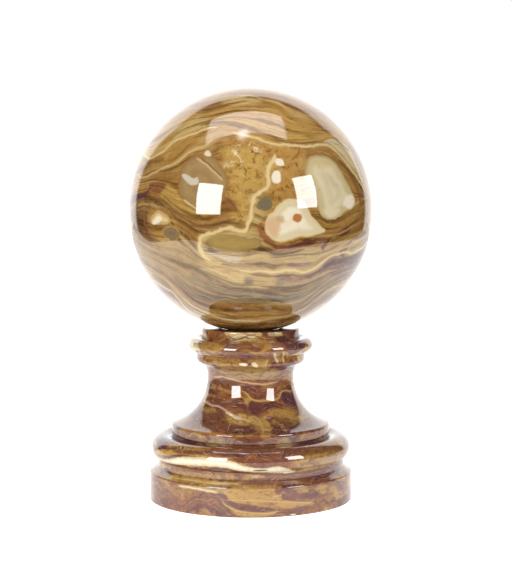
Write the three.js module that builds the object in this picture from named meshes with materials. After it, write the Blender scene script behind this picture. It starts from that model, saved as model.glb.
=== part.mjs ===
// A polished onyx-marble sphere resting on its turned stone pedestal.
//
// Millimetres, +Z up. The pedestal stands on the XY plane with its axis on Z, and the front is -Y.
// Two pieces: the sphere, and the pedestal turned from one block. The sphere only rests in a shallow
// dished seat in the collar's flat top, so nothing joins them.

import * as THREE from 'three';

// ---- Driving dimensions ---------------------------------------------------------------------------

const SPHERE_RADIUS = 100;
const SPHERE_CENTRE_HEIGHT = 238;
const SEAT_GAP = 0.3;

const PLINTH_RADIUS = 83.5;
const PLINTH_WALL_HEIGHT = 22.6;
const PLINTH_EDGE_ROUND = 1.7;
const LEDGE_TOP_HEIGHT = 28.4;

const LOWER_FILLET_RADIUS = 77.1;

const BASE_TORUS_PATH_RADIUS = 71.6;
const BASE_TORUS_SECTION = 10.3;
const BASE_TORUS_HEIGHT = 42.8;

const FOOT_STEP_RADIUS = 64.4;
const FOOT_STEP_TOP = 54.1;
const FOOT_RING_RADIUS = 65.2;
const FOOT_RING_CHAMFER = 0.8;
const FOOT_RING_TOP = 62.7;
const FOOT_RING_ROUND = 2;

const NECK_RADIUS = 35.5;
const NECK_HEIGHT = 101;
const BELL_SPREAD = 40.5;
const BELL_DROP = 40;
const COVE_SPREAD = 6.3;
const COVE_RISE = 11.4;

const COLLAR_RING_RADIUS = 44.4;
const COLLAR_RING_ROUND = 3.5;

const COLLAR_TORUS_PATH_RADIUS = 45;
const COLLAR_TORUS_SECTION = 6.1;
const COLLAR_TORUS_HEIGHT = 127.3;

const RIM_RADIUS = 40.1;
const RIM_TOP_HEIGHT = 141.2;
const RIM_ROUND = 1;

// ---- Facets ---------------------------------------------------------------------------------------

const SPHERE_SEGMENTS = 60;
const SPHERE_RINGS = 32;
const PEDESTAL_SEGMENTS = 60;
const TORUS_STEPS = 8;
const FLARE_STEPS = 8;
const COVE_STEPS = 4;
const ROUND_STEPS = 2;
const SEAT_STEPS = 3;

// ---- Materials ------------------------------------------------------------------------------------

const goldenOnyx = new THREE.MeshStandardMaterial({ color: 0xa87a34, roughness: 0.08, metalness: 0 });
const maroonOnyx = new THREE.MeshStandardMaterial({ color: 0x86503c, roughness: 0.08, metalness: 0 });

// ---- Profile helpers: each returns [radius, height] points, from the first end to the last ----------

/** Arc of an ellipse about (r, z) with half-axes a and b, from one angle to another, in degrees. */
function ellipseArc(r, z, a, b, fromDegrees, toDegrees, steps) {
  return Array.from({ length: steps + 1 }, (_, i) => {
    const angle = THREE.MathUtils.degToRad(THREE.MathUtils.lerp(fromDegrees, toDegrees, i / steps));
    return [r + a * Math.cos(angle), z + b * Math.sin(angle)];
  });
}

/** Arc of a circle about (r, z), from one angle to another, in degrees. */
function circleArc(r, z, radius, fromDegrees, toDegrees, steps) {
  return ellipseArc(r, z, radius, radius, fromDegrees, toDegrees, steps);
}

/** Angle, in degrees, at which a torus section crosses the given radius, on its upper or lower side. */
function torusAngleAt(radius, pathRadius, section, side) {
  return side * THREE.MathUtils.radToDeg(Math.acos((radius - pathRadius) / section));
}

// ---- The pedestal's profile, from the underside up ---------------------------------------------------

/** Square-edged plinth whose top falls away gently from the lower fillet to a rounded edge. */
function plinthProfile() {
  const roundRadius = PLINTH_RADIUS - PLINTH_EDGE_ROUND;
  return [
    [0, 0],
    [PLINTH_RADIUS, 0],
    ...circleArc(roundRadius, PLINTH_WALL_HEIGHT, PLINTH_EDGE_ROUND, 0, 50, ROUND_STEPS),
    [LOWER_FILLET_RADIUS, LEDGE_TOP_HEIGHT],
  ];
}

/** The broad base torus, running from the lower fillet round to the step under the foot ring. */
function baseTorusProfile() {
  const lower = torusAngleAt(LOWER_FILLET_RADIUS, BASE_TORUS_PATH_RADIUS, BASE_TORUS_SECTION, -1);
  const upper = torusAngleAt(FOOT_STEP_RADIUS, BASE_TORUS_PATH_RADIUS, BASE_TORUS_SECTION, 1);
  return circleArc(
    BASE_TORUS_PATH_RADIUS, BASE_TORUS_HEIGHT, BASE_TORUS_SECTION, lower, upper, TORUS_STEPS);
}

/** The thin step and the upright ring that the bell stands on, with its rounded upper edge. */
function footRingProfile() {
  const roundRadius = FOOT_RING_RADIUS - FOOT_RING_ROUND;
  const roundHeight = FOOT_RING_TOP - FOOT_RING_ROUND;
  return [
    [FOOT_STEP_RADIUS, FOOT_STEP_TOP],
    [FOOT_RING_RADIUS, FOOT_STEP_TOP + FOOT_RING_CHAMFER],
    ...circleArc(roundRadius, roundHeight, FOOT_RING_ROUND, 0, 70, ROUND_STEPS),
  ];
}

/** The bell's concave flare up to the neck, and the short cove from the neck out to the collar. */
function bellProfile() {
  const flareTurn = THREE.MathUtils.radToDeg(Math.asin((NECK_HEIGHT - FOOT_RING_TOP) / BELL_DROP));
  const flare = ellipseArc(
    NECK_RADIUS + BELL_SPREAD, NECK_HEIGHT, BELL_SPREAD, BELL_DROP,
    180 + flareTurn, 180, FLARE_STEPS);
  const cove = ellipseArc(
    NECK_RADIUS + COVE_SPREAD, NECK_HEIGHT, COVE_SPREAD, COVE_RISE, 180, 90, COVE_STEPS);
  return [...flare, ...cove.slice(1)];
}

/** The collar: a ring with a rounded lower edge, a torus over it, and the flat-topped rim. */
function collarProfile() {
  const ringBottom = NECK_HEIGHT + COVE_RISE;
  const ringRoundRadius = COLLAR_RING_RADIUS - COLLAR_RING_ROUND;
  const ringRoundHeight = ringBottom + COLLAR_RING_ROUND;
  const lower = torusAngleAt(
    COLLAR_RING_RADIUS, COLLAR_TORUS_PATH_RADIUS, COLLAR_TORUS_SECTION, -1);
  const upper = torusAngleAt(RIM_RADIUS, COLLAR_TORUS_PATH_RADIUS, COLLAR_TORUS_SECTION, 1);
  return [
    ...circleArc(ringRoundRadius, ringRoundHeight, COLLAR_RING_ROUND, -75, 0, ROUND_STEPS),
    ...circleArc(
      COLLAR_TORUS_PATH_RADIUS, COLLAR_TORUS_HEIGHT, COLLAR_TORUS_SECTION,
      lower, upper, TORUS_STEPS),
    ...circleArc(RIM_RADIUS - RIM_ROUND, RIM_TOP_HEIGHT - RIM_ROUND, RIM_ROUND, 0, 90, ROUND_STEPS),
  ];
}

/** The dished seat in the rim's flat top: part of a sphere a little larger than the one it carries. */
function seatProfile() {
  const seatRadius = SPHERE_RADIUS + SEAT_GAP;
  const mouthDepth = SPHERE_CENTRE_HEIGHT - RIM_TOP_HEIGHT;
  const mouthAngle = -THREE.MathUtils.radToDeg(Math.asin(mouthDepth / seatRadius));
  const dish = circleArc(0, SPHERE_CENTRE_HEIGHT, seatRadius, mouthAngle, -90, SEAT_STEPS);
  return [...dish.slice(0, -1), [0, SPHERE_CENTRE_HEIGHT - seatRadius]];
}

// ---- Pieces ---------------------------------------------------------------------------------------

/** Turns a profile of [radius, height] points about Z. */
function turned(profile, segments) {
  const points = profile.map(([radius, height]) => new THREE.Vector2(radius, height));
  return new THREE.LatheGeometry(points, segments).rotateX(Math.PI / 2);
}

function buildSphere() {
  const geometry = new THREE.SphereGeometry(SPHERE_RADIUS, SPHERE_SEGMENTS, SPHERE_RINGS);
  const mesh = new THREE.Mesh(geometry.rotateX(Math.PI / 2), goldenOnyx);
  mesh.name = 'sphere';
  mesh.position.z = SPHERE_CENTRE_HEIGHT;
  return mesh;
}

function buildPedestal() {
  const profile = [
    ...plinthProfile(),
    ...baseTorusProfile(),
    ...footRingProfile(),
    ...bellProfile(),
    ...collarProfile(),
    ...seatProfile(),
  ];
  const mesh = new THREE.Mesh(turned(profile, PEDESTAL_SEGMENTS), maroonOnyx);
  mesh.name = 'pedestal';
  return mesh;
}

const decorativeSphere = new THREE.Group();
decorativeSphere.add(buildPedestal(), buildSphere());

export default decorativeSphere;
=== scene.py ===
"""A polished golden-onyx ball resting on its turned maroon-onyx pedestal, on a plain white table.

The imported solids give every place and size.  This file lays a fine smooth surface over each of the
two solids, works out the stone's beds, pods and veins as fields on those surfaces, and dresses them
with node materials.  Lengths are metres unless a name says otherwise; +Z is up and the front is -Y.
"""

import logging
import math
from abc import ABC, abstractmethod
from dataclasses import dataclass
from enum import Enum
from typing import Any

import bpy
import numpy as np
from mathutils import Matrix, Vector


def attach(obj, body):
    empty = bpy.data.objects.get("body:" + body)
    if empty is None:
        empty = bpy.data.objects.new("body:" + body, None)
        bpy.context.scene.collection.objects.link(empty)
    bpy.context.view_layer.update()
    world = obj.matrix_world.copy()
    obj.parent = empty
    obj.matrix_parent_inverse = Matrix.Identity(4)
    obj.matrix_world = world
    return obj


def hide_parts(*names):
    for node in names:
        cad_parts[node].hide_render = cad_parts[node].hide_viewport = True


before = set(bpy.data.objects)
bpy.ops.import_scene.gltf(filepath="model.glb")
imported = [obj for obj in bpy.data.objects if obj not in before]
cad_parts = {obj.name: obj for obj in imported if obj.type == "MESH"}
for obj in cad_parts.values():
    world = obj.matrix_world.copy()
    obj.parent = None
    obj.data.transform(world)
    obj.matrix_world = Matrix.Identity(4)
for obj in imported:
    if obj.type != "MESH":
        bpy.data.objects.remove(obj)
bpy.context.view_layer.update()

LOG = logging.getLogger("onyx_ball")
FAR_FIELD = 60.0
BLOCK_ROWS = 12000

Places = tuple[tuple[float, float], ...]


# ---- Palette -------------------------------------------------------------------------------------


class Tone(Enum):
    """The colours of the two stones, as display red, green and blue from 0 to 255."""

    WHITE = (212, 200, 176)
    IVORY = (198, 184, 150)
    BONE = (186, 170, 130)
    CREAM = (198, 174, 122)
    STRAW = (180, 153, 99)
    SAND = (166, 138, 88)
    GOLD = (168, 134, 70)
    OCHRE = (154, 117, 59)
    AMBER = (160, 120, 62)
    ORANGE = (166, 104, 52)
    PEACH = (188, 154, 116)
    TAN = (146, 118, 76)
    OLIVE = (150, 124, 70)
    MOSS = (116, 102, 66)
    TAUPE = (124, 104, 70)
    GLASS = (148, 121, 78)
    SLATE = (104, 94, 74)
    PEARL = (182, 172, 152)
    BROWN = (136, 99, 52)
    UMBER = (104, 72, 42)
    DUSK = (76, 52, 36)
    RUST = (128, 80, 48)
    MAROON = (106, 64, 48)
    WINE = (88, 50, 44)
    PLUM = (84, 50, 58)
    MAUVE = (116, 82, 72)
    ROSE = (150, 118, 100)

    def linear(self) -> tuple[float, float, float, float]:
        """The tone as linear red, green, blue and an alpha of one."""
        shares = (channel / 255.0 for channel in self.value)
        red, green, blue = (s / 12.92 if s <= 0.04045 else ((s + 0.055) / 1.055) ** 2.4 for s in shares)
        return (red, green, blue, 1.0)


class Face(Enum):
    """Which half of the ball a place is on, as the sign of its depth."""

    FRONT = -1.0
    BACK = 1.0


# ---- Curves and fields on a surface --------------------------------------------------------------


def smooth_step(low: float, high: float, values: np.ndarray) -> np.ndarray:
    """Cubic ease from 0 at low to 1 at high: 3t^2 - 2t^3, with t the clipped share of the way.

    Args:
        low: value at which the ease starts.
        high: value at which it ends.
        values: the values to ease.

    Returns:
        An array of the same shape, from 0 to 1.
    """
    share = np.clip((values - low) / (high - low), 0.0, 1.0)
    return share * share * (3.0 - 2.0 * share)


def flowing_curve(places: Places, closed: bool, per_span: int = 6) -> np.ndarray:
    """Catmull-Rom curve: each span is the cubic through its two ends whose slopes are half the
    vector between their outer neighbours.

    Args:
        places: points that the curve runs through.
        closed: whether the last point joins the first.
        per_span: steps along each span.

    Returns:
        An array of points, one row each.
    """
    points = np.asarray(places, dtype=float)
    if closed:
        before, start = np.roll(points, 1, axis=0), points
        end, after = np.roll(points, -1, axis=0), np.roll(points, -2, axis=0)
    else:
        padded = np.vstack([2 * points[0] - points[1], points, 2 * points[-1] - points[-2]])
        before, start, end, after = padded[:-3], padded[1:-2], padded[2:-1], padded[3:]
    t = (np.arange(per_span) / per_span)[None, :, None]
    p0, p1, p2, p3 = (p[:, None, :] for p in (before, start, end, after))
    bend = (2 * p0 - 5 * p1 + 4 * p2 - p3) * t**2 + (3 * p1 - p0 - 3 * p2 + p3) * t**3
    curve = (0.5 * (2 * p1 + (p2 - p0) * t + bend)).reshape(-1, points.shape[1])
    return curve if closed else np.vstack([curve, points[-1]])


def nearest_side(ax: np.ndarray, ay: np.ndarray, closed: bool) -> tuple[np.ndarray, np.ndarray]:
    """Distance from the origin to a polyline, positive on its left, one row for each surface point.

    The nearest point of each segment is start + t * (end - start), with t the clipped projection of
    the origin; the cross product of the segment and the way to the origin gives the side.

    Args:
        ax: sideways offsets of the polyline's points from each surface point.
        ay: upward offsets.
        closed: whether the last point joins the first.

    Returns:
        The signed distance, and the share of the way along the line of the nearest point.
    """
    bx, by = np.roll(ax, -1, axis=1), np.roll(ay, -1, axis=1)
    if not closed:
        ax, ay, bx, by = ax[:, :-1], ay[:, :-1], bx[:, :-1], by[:, :-1]
    dx, dy = bx - ax, by - ay
    t = np.clip(-(ax * dx + ay * dy) / (dx * dx + dy * dy + 1e-12), 0.0, 1.0)
    gap = (ax + t * dx) ** 2 + (ay + t * dy) ** 2
    pick = np.argmin(gap, axis=1)
    row = np.arange(len(pick))
    side = np.where(dy[row, pick] * ax[row, pick] < dx[row, pick] * ay[row, pick], -1.0, 1.0)
    return np.sqrt(gap[row, pick]) * side, (pick + t[row, pick]) / ax.shape[1]


class Chart(ABC):
    """Says where a course of places lies as seen from each point of a surface."""

    @abstractmethod
    def count(self) -> int:
        """How many surface points there are."""

    @abstractmethod
    def offsets(self, course: np.ndarray, face: Face, rows: np.ndarray) -> tuple[np.ndarray, np.ndarray]:
        """Sideways and upward offsets of each course point from each chosen surface point."""

    def field_of(
        self, places: Places, closed: bool, face: Face, reach: float
    ) -> tuple[np.ndarray, np.ndarray]:
        """Signed distance to the curve through the places, positive inside a closed one.

        Only points within the reach are worked out, plus the outline's own radius or the line's gaps.

        Args:
            places: points that the curve runs through.
            closed: whether it is an outline.
            face: which half of the ball it is on.
            reach: distance past which a surface point isn't worked out.

        Returns:
            The signed distance (infinite past the reach) and the share along the curve.
        """
        course = flowing_curve(places, closed)
        every = np.arange(self.count())
        rough_x, rough_y = self.offsets(np.asarray(places, dtype=float), face, every)
        size = rough_x**2 + rough_y**2
        nearest = int(np.argmin(np.max(size, axis=1))) if closed else 0
        slack = math.sqrt(float(np.max(size[nearest]))) if closed else self.widest_gap(places)
        rows = every[np.min(size, axis=1) < (reach + slack) ** 2]
        distance = np.full(self.count(), -np.inf if closed else np.inf)
        along = np.zeros(self.count())
        turn = 1.0
        if closed:
            x, y = course[:, 0], course[:, 1]
            turn = math.copysign(1.0, float(np.sum(x * np.roll(y, -1) - np.roll(x, -1) * y))) * -face.value
        for first in range(0, len(rows), BLOCK_ROWS):
            block = rows[first : first + BLOCK_ROWS]
            distance[block], along[block] = nearest_side(*self.offsets(course, face, block), closed)
            distance[block] *= turn
        return distance, along

    @abstractmethod
    def widest_gap(self, places: Places) -> float:
        """The widest gap between neighbouring places, in the chart's own lengths."""


@dataclass(frozen=True, eq=False)
class BallChart(Chart):
    """Chart of a ball of radius one: a place is (x, z) as seen straight on, with the face tipped up.

    Attributes:
        directions: unit vectors of the surface points.
        lean: angle in radians by which the chart's face looks up.
    """

    directions: np.ndarray
    lean: float

    def count(self) -> int:
        """How many surface points there are."""
        return len(self.directions)

    def facing(self) -> np.ndarray:
        """The directions turned into the chart's own frame: (x, depth, height)."""
        x, y, z = self.directions.T
        turn, rise = math.cos(self.lean), math.sin(self.lean)
        return np.stack([x, y * turn - z * rise, z * turn + y * rise], axis=1)

    def lift(self, places: np.ndarray, face: Face) -> np.ndarray:
        """Unit vectors of the places: the depth is the root of 1 - x^2 - z^2, tipped by the lean."""
        x, z = np.asarray(places, dtype=float).T
        size = np.maximum(np.hypot(x, z) / 0.9995, 1.0)
        x, z = x / size, z / size
        depth = np.sqrt(1.0 - x * x - z * z) * face.value
        turn, rise = math.cos(self.lean), math.sin(self.lean)
        return np.stack([x, depth * turn + z * rise, z * turn - depth * rise], axis=1)

    def offsets(self, course: np.ndarray, face: Face, rows: np.ndarray) -> tuple[np.ndarray, np.ndarray]:
        """Offsets along each point's own east and north, stretched to the straight-line distance."""
        here = self.directions[rows]
        east = np.stack([-here[:, 1], here[:, 0], np.zeros(len(rows))], axis=1)
        length = np.linalg.norm(east, axis=1, keepdims=True)
        east = np.where(length > 1e-6, east / np.maximum(length, 1e-6), np.array([1.0, 0.0, 0.0]))
        north = np.cross(here, east)
        there = self.lift(course, face)
        flat_x, flat_y = east @ there.T, north @ there.T
        chord = np.sqrt(np.maximum(2.0 - 2.0 * (here @ there.T), 0.0))
        stretch = chord / np.maximum(np.hypot(flat_x, flat_y), 1e-7)
        return flat_x * stretch, flat_y * stretch

    def widest_gap(self, places: Places) -> float:
        """The widest gap between neighbouring places, as a chord of the ball."""
        lifted = self.lift(np.asarray(places), Face.FRONT)
        return float(np.max(np.linalg.norm(np.diff(lifted, axis=0), axis=1)))


@dataclass(frozen=True, eq=False)
class TurnedChart(Chart):
    """Chart of a turned surface: a place is (azimuth in degrees, run up the profile in millimetres).

    Attributes:
        azimuth: angle of each surface point from the front, towards +X, in radians.
        run: its length up the profile, in millimetres.
        radius: its distance from the axis, in millimetres.
    """

    azimuth: np.ndarray
    run: np.ndarray
    radius: np.ndarray

    def count(self) -> int:
        """How many surface points there are."""
        return len(self.azimuth)

    def offsets(self, course: np.ndarray, face: Face, rows: np.ndarray) -> tuple[np.ndarray, np.ndarray]:
        """Offsets round the turning, as angle times the point's own radius, and up the profile."""
        middle = math.radians(float(np.mean(course[:, 0])))
        from_here = (middle - self.azimuth[rows] + math.pi) % (2.0 * math.pi) - math.pi
        angle = from_here[:, None] + (np.radians(course[:, 0]) - middle)[None, :]
        return angle * self.radius[rows][:, None], course[:, 1][None, :] - self.run[rows][:, None]

    def widest_gap(self, places: Places) -> float:
        """The widest gap between neighbouring places, in millimetres at the widest radius."""
        steps = np.diff(np.asarray(places, dtype=float), axis=0)
        return float(np.max(np.hypot(np.radians(steps[:, 0]) * np.max(self.radius), steps[:, 1])))


# ---- What the stone holds ------------------------------------------------------------------------


@dataclass(frozen=True)
class Patch:
    """A soft cloud of one colour inside an outline."""

    tone: Tone
    feather: float
    outline: Places
    strength: float = 1.0
    face: Face = Face.FRONT


@dataclass(frozen=True)
class Vein:
    """A line of one colour along a course, tapering to nothing at both ends."""

    name: str
    tone: Tone
    half_width: float
    course: Places
    strength: float = 1.0
    face: Face = Face.FRONT
    taper: float = 0.12


@dataclass(frozen=True)
class Pod:
    """A rounded body with a clear edge and growth rings that follow it: rim, body and heart tones."""

    name: str
    outline: Places
    rim: Tone
    body: Tone
    heart: Tone
    depth: float
    rings: float
    face: Face = Face.FRONT
    edge: float = 0.008


@dataclass(frozen=True)
class Bed:
    """One layer border: its level up the stone, and its height at places across the face."""

    level: float
    course: Places


class FieldStore:
    """Gathers the fields of one piece and writes them to its mesh as point attributes."""

    def __init__(self, chart: Chart, unit: float) -> None:
        """Keeps the chart.

        Args:
            chart: chart of the piece's surface.
            unit: what one radius-share is in the chart's own lengths.
        """
        self.chart = chart
        self.unit = unit
        self.scalars: dict[str, np.ndarray] = {}
        self.colours: dict[str, np.ndarray] = {}

    def ground(self, name: str, patches: tuple[Patch, ...]) -> None:
        """Lays the patches over each other: each covers what is below by its eased signed distance.

        Args:
            name: the colour attribute's name; its alpha is how much of the bed is covered.
            patches: the patches, lowest first.
        """
        colour = np.zeros((self.chart.count(), 3))
        cover = np.zeros(self.chart.count())
        for patch in patches:
            depth, _ = self.chart.field_of(patch.outline, True, patch.face, patch.feather * 1.5)
            amount = smooth_step(-patch.feather, patch.feather, depth) * patch.strength
            tone = np.array(patch.tone.linear()[:3])
            joint = cover * (1.0 - amount) + amount
            share = np.divide(amount, joint, out=np.zeros_like(joint), where=joint > 1e-6)[:, None]
            colour = colour * (1.0 - share) + tone * share
            cover = joint
        self.colours[name] = np.column_stack([colour, cover])

    def zone(self, name: str, patches: tuple[Patch, ...]) -> None:
        """A field that is the largest of the patches' eased depths.

        Args:
            name: the attribute's name.
            patches: outlines of the zone.
        """
        most = np.zeros(self.chart.count())
        for patch in patches:
            depth, _ = self.chart.field_of(patch.outline, True, patch.face, patch.feather * 1.5)
            most = np.maximum(most, smooth_step(-patch.feather, patch.feather, depth) * patch.strength)
        self.scalars[name] = most

    def vein(self, vein: Vein) -> None:
        """Signed distance to the vein counted in its half-widths, which shrink towards both ends."""
        gap, along = self.chart.field_of(vein.course, False, vein.face, vein.half_width * 12.0)
        narrowing = np.clip(np.minimum(along, 1.0 - along) / vein.taper, 0.0, 1.0)
        width = vein.half_width * np.maximum(np.sqrt(narrowing), 0.04)
        self.scalars[vein.name] = np.clip(gap / width, -FAR_FIELD, FAR_FIELD)

    def pod(self, pod: Pod) -> None:
        """Signed depth inside the pod's outline, in radius-shares."""
        depth, _ = self.chart.field_of(pod.outline, True, pod.face, 0.12 * self.unit)
        self.scalars[pod.name] = np.clip(depth / self.unit, -1.0, 1.0)

    def write(self, mesh: bpy.types.Mesh) -> None:
        """Puts every field on the mesh's points.

        Args:
            mesh: the piece's mesh, with as many points as the chart.
        """
        for name, values in self.scalars.items():
            mesh.attributes.new(name, "FLOAT", "POINT").data.foreach_set("value", values.astype(np.float32))
        for name, values in self.colours.items():
            made = mesh.attributes.new(name, "FLOAT_COLOR", "POINT")
            made.data.foreach_set("color", values.astype(np.float32).ravel())


# ---- Surfaces ------------------------------------------------------------------------------------


def revolved_mesh(name: str, profile: np.ndarray, segments: int, crease_degrees: float) -> bpy.types.Mesh:
    """Surface of revolution: point (i, j) is (r_j sin a_i, -r_j cos a_i, z_j) with a_i = 2 pi i / n.

    The profile's first and last points lie on the axis and each become one closing pole.

    Args:
        name: the mesh's name.
        profile: (radius, height) rows from the lower pole to the upper one.
        segments: how many steps there are round the axis.
        crease_degrees: an edge that turns more than this stays sharp.

    Returns:
        The closed mesh, its faces pointing outwards.
    """
    rings = profile[1:-1]
    angle = 2.0 * math.pi * np.arange(segments) / segments
    radius, height = rings[:, 0][:, None], rings[:, 1][:, None]
    grid = np.stack(np.broadcast_arrays(radius * np.sin(angle), -radius * np.cos(angle), height), axis=-1)
    poles = np.array([[0.0, 0.0, profile[0, 1]], [0.0, 0.0, profile[-1, 1]]])
    points = np.vstack([grid.reshape(-1, 3), poles])
    this, after = np.arange(segments), np.roll(np.arange(segments), -1)
    base = np.arange(len(rings) - 1)[:, None] * segments
    quads = np.stack([base + this, base + after, base + segments + after, base + segments + this], axis=-1)
    low, high = len(points) - 2, len(points) - 1
    top = (len(rings) - 1) * segments
    floor_fan = np.stack([np.full(segments, low), after, this], axis=-1)
    roof_fan = np.stack([np.full(segments, high), top + this, top + after], axis=-1)
    faces = quads.reshape(-1, 4).tolist() + floor_fan.tolist() + roof_fan.tolist()
    mesh = bpy.data.meshes.new(name)
    mesh.from_pydata(points.tolist(), [], faces)
    mesh.validate()
    mesh.shade_smooth()
    mesh.set_sharp_from_angle(angle=math.radians(crease_degrees))
    return mesh


def arc(r: float, z: float, a: float, b: float, start: float, end: float, steps: int) -> np.ndarray:
    """Arc of an ellipse about (r, z): (r + a cos t, z + b sin t), t in degrees from start to end."""
    t = np.radians(np.linspace(start, end, steps + 1))
    return np.stack([r + a * np.cos(t), z + b * np.sin(t)], axis=1)


def line(first: tuple[float, float], last: tuple[float, float], steps: int) -> np.ndarray:
    """Straight run of points from first to last, without the last."""
    share = (np.arange(steps) / steps)[:, None]
    return np.array(first) * (1.0 - share) + np.array(last) * share


# ---- Node work -----------------------------------------------------------------------------------


class NodeBench:
    """Places and joins nodes in one tree."""

    def __init__(self, tree: bpy.types.NodeTree) -> None:
        """Keeps the tree that it works on."""
        self.tree = tree
        self.placed = 0

    def node(self, kind: str, **settings: Any) -> bpy.types.Node:
        """Adds a node of a kind and sets its properties."""
        made = self.tree.nodes.new(kind)
        made.location = (190.0 * (self.placed // 6), -230.0 * (self.placed % 6))
        self.placed += 1
        for key, value in settings.items():
            setattr(made, key, value)
        return made

    def feed(self, socket: bpy.types.NodeSocket, value: Any) -> None:
        """Links a socket's source to it, or sets its plain value."""
        if isinstance(value, bpy.types.NodeSocket):
            self.tree.links.new(value, socket)
        elif isinstance(value, Tone):
            socket.default_value = value.linear()
        else:
            socket.default_value = value

    def math(
        self, operation: str, first: Any, second: Any = 0.0, third: Any = 0.0, clamp: bool = False
    ) -> Any:
        """A Math node's value."""
        made = self.node("ShaderNodeMath", operation=operation, use_clamp=clamp)
        for socket, value in zip(made.inputs, (first, second, third)):
            self.feed(socket, value)
        return made.outputs[0]

    def ease(self, value: Any, low: Any, high: Any, start: Any = 0.0, end: Any = 1.0) -> Any:
        """Cubic ease of a value from start at low to end at high."""
        return self.spread(value, low, high, start, end, "SMOOTHSTEP")

    def spread(self, value: Any, low: Any, high: Any, start: Any, end: Any, shape: str = "LINEAR") -> Any:
        """Map of a value from low..high to start..end, clipped, straight or by the shape that is named."""
        made = self.node("ShaderNodeMapRange", interpolation_type=shape)
        for socket, fed in zip(made.inputs, (value, low, high, start, end)):
            self.feed(socket, fed)
        return made.outputs[0]

    def mix(self, share: Any, first: Any, second: Any, blend: str = "MIX") -> Any:
        """A colour mix: the share of the second over the first."""
        made = self.node("ShaderNodeMix", data_type="RGBA", blend_type=blend, clamp_factor=True)
        for index, value in ((0, share), (6, first), (7, second)):
            self.feed(made.inputs[index], value)
        return made.outputs[2]

    def ramp(self, share: Any, stops: tuple[tuple[float, Tone], ...]) -> Any:
        """A colour ramp through the stops."""
        made = self.node("ShaderNodeValToRGB")
        made.color_ramp.interpolation = "LINEAR"
        elements = made.color_ramp.elements
        while len(elements) < len(stops):
            elements.new(1.0)
        for element, (position, tone) in zip(elements, stops):
            element.position = position
            element.color = tone.linear()
        self.feed(made.inputs[0], share)
        return made.outputs[0]

    def noise(
        self, vector: Any, scale: Any, detail: float = 2.0, roughness: float = 0.5, twist: float = 0.0
    ) -> Any:
        """Noise from 0 to 1 at a scale, in the vector's space."""
        made = self.node("ShaderNodeTexNoise", noise_dimensions="3D")
        for key, value in (
            ("Vector", vector),
            ("Scale", scale),
            ("Detail", detail),
            ("Roughness", roughness),
            ("Distortion", twist),
        ):
            self.feed(made.inputs[key], value)
        return made.outputs["Fac"]

    def cells(self, vector: Any, scale: Any, feature: str) -> bpy.types.Node:
        """A Voronoi node at a scale."""
        made = self.node("ShaderNodeTexVoronoi", feature=feature)
        self.feed(made.inputs["Vector"], vector)
        self.feed(made.inputs["Scale"], scale)
        return made

    def stretched(
        self, vector: Any, factors: tuple[float, float, float], shift: tuple[float, float, float]
    ) -> Any:
        """A vector moved and then scaled along each axis."""
        made = self.node("ShaderNodeMapping")
        self.feed(made.inputs["Vector"], vector)
        made.inputs["Location"].default_value = tuple(s * f for s, f in zip(shift, factors))
        made.inputs["Scale"].default_value = factors
        return made.outputs[0]

    def axes(self, vector: Any) -> Any:
        """A vector's three values, one socket each."""
        made = self.node("ShaderNodeSeparateXYZ")
        self.feed(made.inputs[0], vector)
        return made.outputs

    def attribute(self, name: str) -> bpy.types.Node:
        """The node that reads one of the mesh's own attributes."""
        return self.node("ShaderNodeAttribute", attribute_name=name, attribute_type="GEOMETRY")

    def placed_group(self, group: bpy.types.NodeTree, **values: Any) -> bpy.types.Node:
        """Places a group and feeds its inputs, an underscore standing for a space in a name."""
        made = self.node("ShaderNodeGroup", node_tree=group)
        for key, value in values.items():
            self.feed(made.inputs[key.replace("_", " ")], value)
        return made


class EffectGroup(ABC):
    """A shared effect: a node group with named inputs and outputs, built once."""

    title = "Effect"
    takes: tuple[tuple[str, str, float], ...] = ()
    gives: tuple[tuple[str, str], ...] = ()

    def tree(self) -> bpy.types.NodeTree:
        """The group, built the first time that it is asked for."""
        made = bpy.data.node_groups.get(self.title)
        if made is not None:
            return made
        made = bpy.data.node_groups.new(self.title, "ShaderNodeTree")
        for name, kind, value in self.takes:
            socket = made.interface.new_socket(name, in_out="INPUT", socket_type=f"NodeSocket{kind}")
            if kind == "Float":
                socket.default_value = value
        for name, kind in self.gives:
            made.interface.new_socket(name, in_out="OUTPUT", socket_type=f"NodeSocket{kind}")
        bench = NodeBench(made)
        source, sink = bench.node("NodeGroupInput"), bench.node("NodeGroupOutput")
        for name, value in self.build(bench, source.outputs).items():
            bench.feed(sink.inputs[name], value)
        return made

    @abstractmethod
    def build(self, bench: NodeBench, given: Any) -> dict[str, Any]:
        """Places the group's nodes.

        Args:
            bench: works on the group's tree.
            given: the group's input values, by name.

        Returns:
            What goes to each named output.
        """


class WobbleGroup(EffectGroup):
    """Two scales of wavering, each centred on nought."""

    title = "Stone wobble"
    takes = (("Position", "Vector", 0.0), ("Scale", "Float", 1.0))
    gives = (("Fine", "Float"), ("Broad", "Float"))

    def build(self, bench: NodeBench, given: Any) -> dict[str, Any]:
        """Noise less a half, at a fine and at a broad scale."""
        made: dict[str, Any] = {}
        for name, factor, detail, rough in (("Fine", 16.0, 3.0, 0.6), ("Broad", 3.4, 3.0, 0.5)):
            scale = bench.math("MULTIPLY", given["Scale"], factor)
            made[name] = bench.math("SUBTRACT", bench.noise(given["Position"], scale, detail, rough), 0.5)
        return made


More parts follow.
